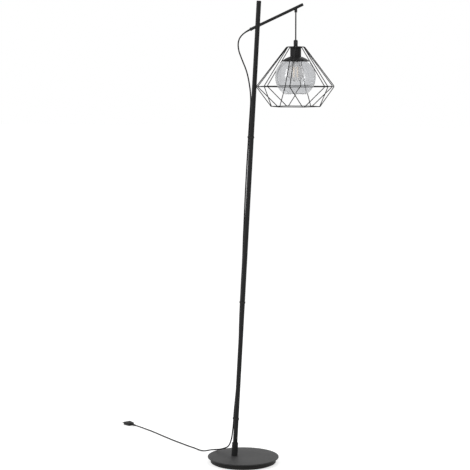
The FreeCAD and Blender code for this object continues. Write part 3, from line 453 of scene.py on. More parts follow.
NICKEL = Coat("pin_nickel", Slot.NICKEL, (0.60, 0.58, 0.54), (0.70, 0.68, 0.64), 0.22, metallic=1.0,
              grain_depth=0.006 * MM, tone_scale=150, grain_stretch=(1, 1, 0.2))
CAP_METAL = Coat("bulb_cap_metal", Slot.CAP, (0.62, 0.61, 0.58), (0.74, 0.73, 0.70), 0.26, metallic=1.0,
                 grain_scale=600, grain_depth=0.012 * MM, tone_scale=140)
INSULATOR = Coat("bulb_insulator_black", Slot.INSULATOR, (0.013, 0.012, 0.014), (0.024, 0.022, 0.025), 0.18,
                 coat=0.3, grain_scale=500, grain_depth=0.01 * MM)
SMOKED_GLASS = Glass("smoked_glass", Slot.SMOKED, (0.40, 0.41, 0.43), 215.0, 0.008, 0.012 * MM, wave_scale=14.0)
BULB_GLASS = Glass("warm_bulb_glass", Slot.CLEAR, (0.70, 0.62, 0.54), 80.0, 0.18, 0.006 * MM)
STEM_GLASS = Glass("clear_stem_glass", Slot.CLEAR, (0.86, 0.84, 0.80), 8.0, 0.02, 0.004 * MM, index=1.1)
# The filament coat's glow is painted brightness.
FILAMENT_COAT = PaintedGlowCoat("filament_coat", Slot.FILAMENT, (0.93, 0.80, 0.66), (0.96, 0.86, 0.74), 0.64)


# --- mesh helpers


@dataclass(frozen=True)
class Axis:
    """A straight line in the lamp's plane that turned pieces stand on."""

    foot: Vector
    lean: float

    def at(self, height: float) -> Matrix:
        """The place on the line at a height along it from its foot."""
        way = Vector((math.sin(self.lean), 0, math.cos(self.lean)))
        return Matrix.Translation(self.foot + way * height) @ Matrix.Rotation(self.lean, 4, "Y")


def arc(centre: Point, radius: float, start: float, end: float, count: int) -> Outline:
    """Points on an arc.

    Args:
        centre: The arc's centre, across and up.
        radius: Its radius.
        start: The first point's angle in radians, from across towards up.
        end: The last point's angle.
        count: How many points.

    Returns:
        The points in order.
    """
    steps = [start + (end - start) * i / (count - 1) for i in range(count)]
    return [(centre[0] + radius * math.cos(a), centre[1] + radius * math.sin(a)) for a in steps]


def foot_edge(radius: float, low: float, soft: float, count: int) -> Outline:
    """The rounding of a turned piece's lower outer edge, upwards."""
    return arc((radius - soft, low + soft), soft, -QUARTER_TURN, 0, count)


def top_edge(radius: float, high: float, soft: float, count: int) -> Outline:
    """The rounding of a turned piece's upper outer edge, inwards."""
    return arc((radius - soft, high - soft), soft, 0, QUARTER_TURN, count)


def pipe(bore: float, radius: float, low: float, high: float, soft: float, count: int = 4) -> Outline:
    """A tube or a holed plate with rounded outer edges."""
    return [(bore, low), *foot_edge(radius, low, soft, count), *top_edge(radius, high, soft, count), (bore, high)]


def groove(radius: float, low: float, depth: float, slope: float, floor: float) -> Outline:
    """A groove round a turned piece, from its lower side upwards."""
    deep, top = radius - depth, low + 2 * slope + floor
    return [(radius, low), (deep, low + slope), (deep, top - slope), (radius, top)]


def turned(outline: Outline, steps: int, place: Matrix | None = None, closed: bool = True) -> BMesh:
    """Turn an outline about the Z axis and put the piece in its place.

    Args:
        outline: Points as radius and height.
        steps: How many faces go round.
        place: Where the piece stands; at the origin if left out.
        closed: Whether the last point joins the first.

    Returns:
        The turned mesh, its normals pointing out.
    """
    mesh = bmesh.new()
    points = [mesh.verts.new((across, 0, up)) for across, up in outline]
    pairs = list(zip(points, points[1:]))
    if closed:
        pairs.append((points[-1], points[0]))
    edges = [mesh.edges.new(pair) for pair in pairs]
    bmesh.ops.spin(mesh, geom=points + edges, cent=ORIGIN, axis=(0, 0, 1), angle=FULL_TURN, steps=steps,
                   use_merge=True)
    tidy(mesh)
    if place is not None:
        move(mesh, place)
    return mesh


def tidy(mesh: BMesh) -> None:
    """Merge the doubles of a mesh and turn its faces outwards.

    Args:
        mesh: The mesh to change.
    """
    bmesh.ops.remove_doubles(mesh, verts=mesh.verts, dist=MERGE_DISTANCE)
    bmesh.ops.dissolve_degenerate(mesh, edges=mesh.edges, dist=MERGE_DISTANCE)
    bmesh.ops.recalc_face_normals(mesh, faces=mesh.faces)


def ease(mesh: BMesh, width: float, segments: int) -> None:
    """Round the sharp edges of a mesh.

    Args:
        mesh: The mesh to change.
        width: How far the rounding reaches from each edge.
        segments: How many faces it has.
    """
    sharp = [e for e in mesh.edges if len(e.link_faces) == 2 and e.calc_face_angle(0) > SHARP_ANGLE]
    bmesh.ops.bevel(mesh, geom=sharp, offset=width, offset_type="OFFSET", affect="EDGES", segments=segments,
                    profile=0.5, material=-1, clamp_overlap=True)


def block(size: Triple, soft: float, segments: int = 2, foot_share: Point = (1.0, 1.0)) -> BMesh:
    """A block with rounded edges.

    Args:
        size: Its size along each axis.
        soft: The rounding of its edges.
        segments: How many faces the rounding has.
        foot_share: How wide and thick its lower end is, as a share of the upper one.

    Returns:
        The block's mesh, round the origin.
    """
    mesh = bmesh.new()
    bmesh.ops.create_cube(mesh, size=1)
    bmesh.ops.scale(mesh, vec=size, verts=mesh.verts)
    bmesh.ops.scale(mesh, vec=(*foot_share, 1), verts=[v for v in mesh.verts if v.co.z < 0])
    ease(mesh, soft, segments)
    return mesh


def move(mesh: BMesh, matrix: Matrix) -> None:
    """Put a whole mesh in its place."""
    bmesh.ops.transform(mesh, matrix=matrix, verts=mesh.verts)


def add_to(goal: BMesh, part: BMesh, matrix: Matrix) -> None:
    """Copy one mesh into another at a place, and free it.

    Args:
        goal: The mesh that grows.
        part: The mesh that goes in.
        matrix: Where it goes.
    """
    move(part, matrix)
    spare = bpy.data.meshes.new("spare")
    part.to_mesh(spare)
    part.free()
    goal.from_mesh(spare)
    bpy.data.meshes.remove(spare)


def copies(part: Callable[[], BMesh], places: Iterable[Matrix]) -> BMesh:
    """The same small mesh at several places, as one mesh.

    Args:
        part: Makes the small mesh.
        places: Where the copies go.

    Returns:
        The whole mesh.
    """
    whole = bmesh.new()
    for place in places:
        add_to(whole, part(), place)
    return whole


def tube_along(points: Sequence[Vector], radii: Sequence[float], sides: int = 20) -> BMesh:
    """A closed round tube through points, with a radius at each.

    Args:
        points: The centreline.
        radii: The tube's radius at each point.
        sides: How many faces go round.

    Returns:
        The tube's mesh.
    """
    mesh = bmesh.new()
    rings = []
    last = len(points) - 1
    for i, (point, radius) in enumerate(zip(points, radii)):
        way = (points[min(i + 1, last)] - points[max(i - 1, 0)]).normalized()
        turn = Vector((0, 0, 1)).rotation_difference(way).to_matrix().to_4x4()
        ring = bmesh.ops.create_circle(mesh, cap_ends=i in (0, last), radius=radius, segments=sides,
                                       matrix=Matrix.Translation(point) @ turn)
        rings.append({e for v in ring["verts"] for e in v.link_edges})
    for first, second in zip(rings, rings[1:]):
        bmesh.ops.bridge_loops(mesh, edges=list(first | second))
    tidy(mesh)
    return mesh


def cable_curve(name: str, points: Sequence[Vector], radius: float, steps: int, roundness: int = 0) -> Thing:
    """A cable as one smooth open spline.

    Args:
        name: The object's name.
        points: The spline's points in order.
        radius: The cable's radius, or 0 for the bare line.
        steps: How finely the spline is followed.
        roundness: How finely the section is rounded.

    Returns:
        The curve's object.
    """
    data = bpy.data.curves.new(name, "CURVE")
    data.dimensions = "3D"
    data.resolution_u = steps
    data.bevel_depth = radius
    data.bevel_resolution = roundness
    data.use_fill_caps = True
    spline = data.splines.new("NURBS")
    spline.points.add(len(points) - 1)
    for spot, point in zip(spline.points, points):
        spot.co = (*point, 1)
    spline.order_u = 3
    spline.use_endpoint_u = True
    return bpy.data.objects.new(name, data)


# --- where things stand

BASE_TOP = 22 * MM
PENDANT_X = 183.526 * MM
POLE = Axis(Vector((-31.8, 0, 22)) * MM, math.radians(3.09))
ARM = Axis(Vector((49.854, 0, 1534.598)) * MM, math.radians(65.5))


def hang(height: float) -> Matrix:
    """The place on the shade's upright axis at a height above the floor."""
    return Matrix.Translation((PENDANT_X, 0, height))


# --- the workshop


class Workshop:
    """Finishes, and the last steps that every piece goes through."""

    def __init__(self) -> None:
        """Make the shared effects; materials are made when a piece first needs one."""
        self.effects = Effects()
        self.made: dict[str, bpy.types.Material] = {}

    def material(self, finish: Finish) -> bpy.types.Material:
        """The material of a finish, made once.

        Args:
            finish: The finish.

        Returns:
            Its material.
        """
        if finish.name not in self.made:
            self.made[finish.name] = finish.build(self.effects)
        return self.made[finish.name]

    def dress(self, nodes: dict[str, Thing], finish: Finish, names: Iterable[str]) -> None:
        """Give carried-over nodes a finish.

        Args:
            nodes: The frame's nodes.
            finish: The finish they get.
            names: Which nodes get it.
        """
        for name in names:
            thing = nodes[name]
            thing.data.materials.clear()
            thing.data.materials.append(self.material(finish))
            LOG.info("dressed %s in %s", name, finish.name)

    def piece(self, name: str, shape: BMesh, body: Body, finish: Finish, *stands_for: str,
              smooth: float = SHARP_ANGLE) -> Thing:
        """Make an object of a mesh, with its finish, its body and the nodes it stands for.

        Args:
            name: The piece's name.
            shape: Its mesh, in place.
            body: The body it rides on.
            finish: Its finish.
            stands_for: The frame's nodes that it replaces.
            smooth: The angle above which an edge stays sharp.

        Returns:
            The new object.
        """
        data = bpy.data.meshes.new(name)
        shape.to_mesh(data)
        shape.free()
        data.polygons.foreach_set("use_smooth", [True] * len(data.polygons))
        data.set_sharp_from_angle(angle=smooth)
        return self.settle(bpy.data.objects.new(name, data), body, finish, *stands_for)

    def settle(self, thing: Thing, body: Body, finish: Finish, *stands_for: str) -> Thing:
        """Link an object, dress it and make it ride.

        Args:
            thing: The object, with its place in its own data.
            body: The body it rides on.
            finish: Its finish.
            stands_for: The frame's nodes that it replaces.

        Returns:
            The same object.
        """
        bpy.context.scene.collection.objects.link(thing)
        thing.data.materials.append(self.material(finish))
        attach(thing, body.value)
        if stands_for:
            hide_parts(*stands_for)
        LOG.info("made %s on %s, in place of %s", thing.name, body.value, ", ".join(stands_for) or "nothing")
        return thing


# --- base and pole


@dataclass
class Base:
    """The pressed cover and the cast weight under it."""

    weight_low: float = 2 * MM
    weight_radius: float = 116 * MM
    weight_foot_round: float = 1 * MM
    weight_top_round: float = 0.3 * MM
    cover_low: float = 18 * MM
    cover_radius: float = 126 * MM
    cover_round: float = 1.5 * MM

    def disc(self, radius: float, low: float, high: float, foot_round: float, top_round: float) -> BMesh:
        """A flat round disc with rounded edges.

        Args:
            radius: The disc's radius.
            low: The height of its underside.
            high: The height of its top.
            foot_round: The rounding of the lower edge.
            top_round: The rounding of the upper edge.

        Returns:
            The disc's mesh.
        """
        outline = [(0, low), (radius / 2, low), *foot_edge(radius, low, foot_round, 6),
                   *top_edge(radius, high, top_round, 6), (radius / 2, high), (0, high)]
        return turned(outline, 192, closed=False)

    def build(self, shop: Workshop) -> None:
        """Make the cover and the weight.

        Args:
            shop: The workshop that finishes the pieces.
        """
        weight = self.disc(self.weight_radius, self.weight_low, self.cover_low, self.weight_foot_round,
                           self.weight_top_round)
        shop.piece("weight_casting", weight, Body.STAND, CAST_IRON, "base_weight")
        cover = self.disc(self.cover_radius, self.cover_low, BASE_TOP, self.cover_round, self.cover_round)
        shop.piece("cover_plate", cover, Body.STAND, BASE_BLACK, "base_cover")


@dataclass
class Pole:
    """The sleeve at the pole's foot, the three tubes and the domed cap."""

    radius: float = 8 * MM
    bore: float = 6.5 * MM
    ends: tuple[float, ...] = (0.8 * MM, 551.3 * MM, 1132.0 * MM, 1598.8 * MM)
    seam: float = 0.3 * MM
    cap_head: float = 2.5 * MM
    cap_round: float = 1.6 * MM
    cap_break: float = 0.2 * MM
    sleeve_radius: float = 11 * MM
    sleeve_bore: float = 8.05 * MM
    sleeve_height: float = 46.5 * MM
    sleeve_round: float = 0.7 * MM
    sleeve_sink: float = 0.7 * MM
    groove_low: float = 37.5 * MM
    groove_width: float = 1 * MM
    groove_depth: float = 0.4 * MM

    def sleeve(self) -> BMesh:
        """The grooved sleeve, its foot let a little into the cover because it leans.

        Returns:
            The sleeve's mesh, in place.
        """
        radius, bore, height = self.sleeve_radius, self.sleeve_bore, self.sleeve_height
        outline = [(bore, -self.sleeve_sink), (radius, -self.sleeve_sink),
                   *groove(radius, self.groove_low, self.groove_depth, 0, self.groove_width),
                   *top_edge(radius, height, self.sleeve_round, 6), (bore, height)]
        return turned(outline, 72, POLE.at(0))

    def tube(self, low: float, high: float) -> BMesh:
        """One tube of the pole, its end edges broken so that the joint shows as a fine line."""
        return turned(pipe(self.bore, self.radius, low, high, self.seam), 64, POLE.at(0))

    def cap(self) -> BMesh:
        """The low dome that closes the pole.

        Returns:
            The cap's mesh, in place.
        """
        low, high = self.ends[-1], self.ends[-1] + self.cap_head
        outline = [(0, low), (self.radius - self.cap_break, low), (self.radius, low + self.cap_break),
                   *top_edge(self.radius, high - self.cap_break, self.cap_round, 8), (0, high)]
        return turned(outline, 64, POLE.at(0), closed=False)

    def build(self, shop: Workshop) -> None:
        """Make the sleeve, the tubes and the cap.

        Args:
            shop: The workshop that finishes the pieces.
        """
        shop.piece("grooved_sleeve", self.sleeve(), Body.STAND, SATIN_BLACK, "foot_sleeve")
        for name, low, high in zip(("lower", "middle", "upper"), self.ends, self.ends[1:]):
            shop.piece(f"pole_tube_{name}", self.tube(low, high), Body.STAND, SATIN_BLACK, f"pole_{name}")
        shop.piece("pole_dome_cap", self.cap(), Body.STAND, BLACK_PLASTIC, "pole_top_cap")


@dataclass
class Arm:
    """The slanted arm: its tube, the bush that the cord goes in by and the cap on its tip."""

    radius: float = 5 * MM
    bore: float = 4 * MM
    start: float = -23.5 * MM
    end: float = 172.7 * MM
    edge: float = 0.25 * MM
    sides: int = 56
    bush_radius: float = 6 * MM
    bush_length: float = 5 * MM
    bush_round: float = 1 * MM
    bush_break: float = 0.3 * MM
    bush_bore: float = 2.48 * MM
    bush_flare: float = 0.6 * MM
    waist_radius: float = 1.9 * MM
    waist_out: float = 1.6 * MM
    waist_up: float = 0.4 * MM
    waist_turn: float = math.radians(35)
    tip_length: float = 2 * MM
    tip_break: float = 0.15 * MM
    tip_round: float = 1.2 * MM
    tip_crown: float = 0.1 * MM

    def tube(self) -> BMesh:
        """The arm's tube."""
        return turned(pipe(self.bore, self.radius, self.start, self.end, self.edge), self.sides, ARM.at(0))

    def bush(self) -> BMesh:
        """The bush's collar, with a waist where fingers pull it.

        Returns:
            The collar's mesh, in place.
        """
        low, high, radius = self.start - self.bush_length, self.start, self.bush_radius
        waist = (radius + self.waist_out, (low + high) / 2 + self.waist_up)
        outline = [(self.bush_bore, low + self.bush_flare), (self.bush_bore + self.bush_flare, low),
                   *foot_edge(radius, low, self.bush_round, 6),
                   *arc(waist, self.waist_radius, math.pi + self.waist_turn, math.pi - self.waist_turn, 8),
                   (radius, high - self.bush_break), (radius - self.bush_break, high), (self.bush_bore, high)]
        return turned(outline, self.sides, ARM.at(0))

    def tip(self) -> BMesh:
        """The shallow dome on the arm's tip.

        Returns:
            The dome's mesh, in place.
        """
        top = self.end + self.tip_length
        outline = [(0, self.end), (self.radius - self.tip_break, self.end), (self.radius, self.end + self.tip_break),
                   *top_edge(self.radius, top - self.tip_crown, self.tip_round, 7), (0, top)]
        return turned(outline, self.sides, ARM.at(0), closed=False)

    def build(self, shop: Workshop) -> None:
        """Make the tube, the bush and the tip.

        Args:
            shop: The workshop that finishes the pieces.
        """
        shop.piece("arm_pipe", self.tube(), Body.STAND, SATIN_BLACK, "arm_tube")
        shop.piece("arm_bush_collar", self.bush(), Body.STAND, BLACK_PLASTIC, "arm_entry_bush")
        shop.piece("arm_dome_tip", self.tip(), Body.STAND, BLACK_PLASTIC, "arm_end_cap")


# --- the hanging cable


@dataclass
class HangingCable:
    """The cable that carries the shade, and the grip that holds the shade on it."""

    diameter: float = 4.8 * MM
    top: float = 1584.5 * MM
    low: float = 1473.0 * MM
    spline_points: int = 6
    grip_low: float = 1465.016 * MM
    grip_length: float = 21.5 * MM
    grip_radius: float = 7.3 * MM
    grip_top_radius: float = 6 * MM
    grip_taper: float = 3 * MM
    grip_bore: float = 2.45 * MM
    grip_round: float = 0.5 * MM
    grip_lip: float = 0.4 * MM
    shoulder_height: float = 0.3 * MM
    shoulder_step: float = 0.1 * MM
    groove_heights: tuple[float, ...] = (3.0 * MM, 5.0 * MM)
    groove_depth: float = 0.35 * MM
    groove_slope: float = 0.2 * MM
    groove_floor: float = 0.4 * MM

    def line(self) -> Thing:
        """The cable as one upright spline.

        Returns:
            The curve's object.
        """
        drop = (self.low - self.top) / (self.spline_points - 1)
        points = [Vector((PENDANT_X, 0, self.top + drop * i)) for i in range(self.spline_points)]
        return cable_curve("hanging_cable", points, self.diameter / 2, steps=10, roundness=6)

    def grip(self) -> BMesh:
        """The moulded grip: a straight body with two fine grooves, a tapered top and rounded edges.

        Returns:
            The grip's mesh, in place.
        """
        radius, tall, lip = self.grip_radius, self.grip_length, self.grip_lip
        outline = [(self.grip_bore, 0), *foot_edge(radius, 0, self.grip_round, 5)]
        for height in self.groove_heights:
            outline += groove(radius, height, self.groove_depth, self.groove_slope, self.groove_floor)
        shoulder = tall - self.grip_taper
        outline += [(radius, shoulder - self.shoulder_height), (radius - self.shoulder_step, shoulder)]
        outline += [(self.grip_top_radius, tall - lip), (self.grip_top_radius - lip, tall)]
        outline += [(self.grip_bore + lip, tall), (self.grip_bore, tall - lip)]
        return turned(outline, 72, hang(self.grip_low))

    def build(self, shop: Workshop) -> None:
        """Make the cable and the grip.

        Args:
            shop: The workshop that finishes the pieces.
        """
        cable = shop.settle(self.line(), Body.CABLE, SHEATH, "pendant_cable")
        shop.piece("moulded_grip", self.grip(), Body.SHADE, BLACK_PLASTIC, "cord_grip")


# --- the cage


@dataclass(frozen=True)
class WeldRing:
    """The twelve welds where the rods of one ring meet the wires, a pair at each of its corners."""

    name: str
    height: float
    radius: float
    aside: float
    bend: float
    first_corner: float
    weld_radius: float
    corners: int = 6
    inset: float = 0.35
    squash: Triple = (0.92, 1.12, 0.95)

    def spots(self) -> list[Matrix]:
        """The places of the welds, each let a little into its wire's bend.

        Returns:
            The places in order.
        """
        spots = []
        for k in range(self.corners):
            turn = Matrix.Rotation(self.first_corner + k * FULL_TURN / self.corners, 4, "Z")
            for side in (-1, 1):
                weld = Vector((self.radius, side * self.aside, 0))
                weld -= weld.normalized() * self.bend * self.inset
                spots.append(hang(self.height) @ turn @ Matrix.Translation(weld))
        return spots

    def bead(self) -> BMesh:
        """A small uneven weld bead.

        Returns:
            The bead's mesh, round the origin.
        """
        mesh = bmesh.new()
        bmesh.ops.create_icosphere(mesh, subdivisions=3, radius=self.weld_radius)
        bmesh.ops.scale(mesh, vec=self.squash, verts=mesh.verts)
        return mesh


@dataclass
class Cage:
    """The round plate that the wires are let into, and the welds where the rods meet the wires."""

    plate_radius: float = 20 * MM
    plate_low: float = 1458.516 * MM
    plate_thick: float = 6.5 * MM
    plate_round: float = 0.7 * MM
    plate_bore: float = 5.05 * MM
    rings: tuple[WeldRing, ...] = (
        WeldRing("equator_welds", 1328.216 * MM, 138.5 * MM, 8 * MM, 5 * MM, math.radians(30), 2.0 * MM),
        WeldRing("low_ring_welds", 1259.816 * MM, 85 * MM, 3.5 * MM, 2.6 * MM, math.radians(60), 1.8 * MM),
    )

    def plate(self) -> BMesh:
        """The top plate with its edges rounded."""
        outline = pipe(self.plate_bore, self.plate_radius, 0, self.plate_thick, self.plate_round, 5)
        return turned(outline, 96, hang(self.plate_low))

    def build(self, shop: Workshop) -> None:
        """Make the plate and the welds.

        Args:
            shop: The workshop that finishes the pieces.
        """
        shop.piece("cage_hub_plate", self.plate(), Body.SHADE, SATIN_BLACK, "cage_top_plate")
        for ring in self.rings:
            shop.piece(ring.name, copies(ring.bead, ring.spots()), Body.SHADE, SATIN_BLACK)


# --- lampholder and glass


@dataclass
class Lampholder:
    """The metal cup over the holder and the fluted ring that clamps the glass from below."""

    cup_low: float = 1430.516 * MM
    cup_radius: float = 18.8 * MM
    cup_height: float = 28 * MM
    cup_wall: float = 1.2 * MM
    cup_round: float = 1.6 * MM
    cup_break: float = 0.2 * MM
    cup_bore: float = 5.05 * MM
    groove_low: float = 3.4 * MM
    groove_depth: float = 0.35 * MM
    groove_slope: float = 0.3 * MM
    groove_floor: float = 0.4 * MM
    ring_low: float = 1418.474 * MM
    ring_radius: float = 23.2 * MM
    ring_bore: float = 16.95 * MM
    ring_height: float = 6 * MM
    ring_bevel: float = 1.5 * MM
    flute_count: int = 30
    flute_size: Triple = (1.4 * MM, 2.2 * MM, 3.2 * MM)
    flute_round: float = 0.4 * MM
    flute_sink: float = 0.1 * MM
    flute_height: float = 3.1 * MM

    def cup(self) -> BMesh:
        """The drawn cup, with a shallow groove near its foot.

        Returns:
            The cup's mesh, in place.
        """
        outer, inner, tall, broken = self.cup_radius, self.cup_radius - self.cup_wall, self.cup_height, self.cup_break
        outline = [(inner, broken), (inner + broken, 0), (outer - broken, 0), (outer, broken),
                   *groove(outer, self.groove_low, self.groove_depth, self.groove_slope, self.groove_floor),
                   *top_edge(outer, tall, self.cup_round, 8), (self.cup_bore, tall),
                   (self.cup_bore, tall - self.cup_wall), (inner, tall - self.cup_wall)]
        return turned(outline, 96, hang(self.cup_low))

    def ring(self) -> BMesh:
        """The moulded ring with grip flutes round it.

        Returns:
            The ring's mesh, in place.
        """
        outer, tall = self.ring_radius, self.ring_height
        outline = [(self.ring_bore, 0), (outer - self.ring_bevel, 0), (outer, self.ring_bevel), (outer, tall),
                   (self.ring_bore, tall)]
        mesh = turned(outline, 96)
        stand = Matrix.Translation((outer - self.flute_sink, 0, self.flute_height))
        for k in range(self.flute_count):
            turn = Matrix.Rotation(FULL_TURN * k / self.flute_count, 4, "Z")
            add_to(mesh, block(self.flute_size, self.flute_round), turn @ stand)
        move(mesh, hang(self.ring_low))
        return mesh

    def build(self, shop: Workshop) -> None:
        """Make the cup and the ring."""
        shop.piece("drawn_cup", self.cup(), Body.SHADE, SATIN_BLACK, "lampholder_cup")
        shop.piece("fluted_ring", self.ring(), Body.SHADE, BLACK_PLASTIC, "lampholder_ring")


@dataclass
class Globe:
    """The dish cap and the open glass globe under it, both round one centre."""

    centre: float = 1360.91 * MM
    radius: float = 70 * MM
    wall: float = 2 * MM
    neck_turn: float = math.radians(73.7)
    mouth_turn: float = math.radians(-57.4)
    dish_radius: float = 71.8 * MM
    dish_wall: float = 1.2 * MM
    dish_top_turn: float = math.radians(75.8)
    dish_rim_turn: float = math.radians(50.9)
    bead_radius: float = 1.25 * MM
    dish_smooth: float = math.radians(50)
    glass_smooth: float = math.radians(60)

    def fold(self, middle: float, turn: float, radius: float, start: float, end: float, count: int) -> Outline:
        """The round edge between a shell's two sides, without its first and last point.

        Args:
            middle: The radius of the shell's middle.
            turn: Where on the shell the edge is.
            radius: The edge's own radius.
            start: The angle at which the edge starts.
            end: The angle at which it ends.
            count: How many points the whole edge has.

        Returns:
            The points between the ends.
        """
        centre = (middle * math.cos(turn), middle * math.sin(turn))
        return arc(centre, radius, start, end, count)[1:-1]

    def glass(self) -> BMesh:
        """The blown shell, its two edges melted round.

        Returns:
            The glass's mesh, in place.
        """
        low, high, half = self.mouth_turn, self.neck_turn, self.wall / 2
        middle, inside = self.radius - half, self.radius - self.wall
        outline = [*arc(MIDDLE, self.radius, low, high, 110),
                   *self.fold(middle, high, half, high, high + math.pi, 13),
                   *arc(MIDDLE, inside, high, low, 110),
                   *self.fold(middle, low, half, low + math.pi, low + FULL_TURN, 13)]
        return turned(outline, 160, hang(self.centre))

    def dish(self) -> BMesh:
        """The spun dish with a rolled bead round its rim.

        Returns:
            The dish's mesh, in place.
        """
        low, high, half = self.dish_rim_turn, self.dish_top_turn, self.dish_wall / 2
        middle, bead = self.dish_radius - half, self.bead_radius
        spread = math.acos(half / bead)
        start = low + bead * math.sin(spread) / middle
        outline = [*arc(MIDDLE, self.dish_radius, start, high, 36), *arc(MIDDLE, middle - half, high, start, 36),
                   *self.fold(middle, low, bead, low + math.pi - spread, low + FULL_TURN + spread, 20)]
        return turned(outline, 128, hang(self.centre))

    def build(self, shop: Workshop) -> None:
        """Make the dish and the glass."""
        shop.piece("spun_dish", self.dish(), Body.SHADE, SATIN_BLACK, "dish_cap", smooth=self.dish_smooth)
        shop.piece("blown_globe", self.glass(), Body.SHADE, SMOKED_GLASS, "glass_globe", smooth=self.glass_smooth)


@dataclass
class Bulb:
    """The bulb's blown envelope."""

    low: float = 1345.166 * MM
    radius: float = 30 * MM
    wall: float = 0.8 * MM
    neck_radius: float = 12.6 * MM
    flank_rise: float = 42 * MM
    flank_radius: float = 29.39 * MM
    neck_rise: float = 45.6 * MM
    smooth: float = math.radians(60)

    def envelope(self) -> BMesh:
        """The pear-shaped shell: a ball, a hollow flank and a short neck.

        Returns:
            The shell's mesh, in place.
        """
        flank = (self.neck_radius + self.flank_radius, self.flank_rise)
        meeting = math.atan2(flank[1], flank[0])
        neck, inside = self.neck_radius, self.radius - self.wall
        outline = [(0, -self.radius), *arc(MIDDLE, self.radius, -QUARTER_TURN, meeting, 64)[1:],
                   *arc(flank, self.flank_radius, math.pi + meeting, math.pi, 28)[1:],
                   (neck, self.neck_rise), (neck - self.wall, self.neck_rise),
                   *arc(flank, self.flank_radius + self.wall, math.pi, math.pi + meeting, 28),
                   *arc(MIDDLE, inside, meeting, -QUARTER_TURN, 64)[1:-1], (0, -inside)]
        return turned(outline, 112, hang(self.low + self.radius), closed=False)

    def build(self, shop: Workshop) -> None:
        """Make the envelope."""
        shop.piece("bulb_blown_shell", self.envelope(), Body.BULB, BULB_GLASS, "bulb_envelope", smooth=self.smooth)


# --- mains cord


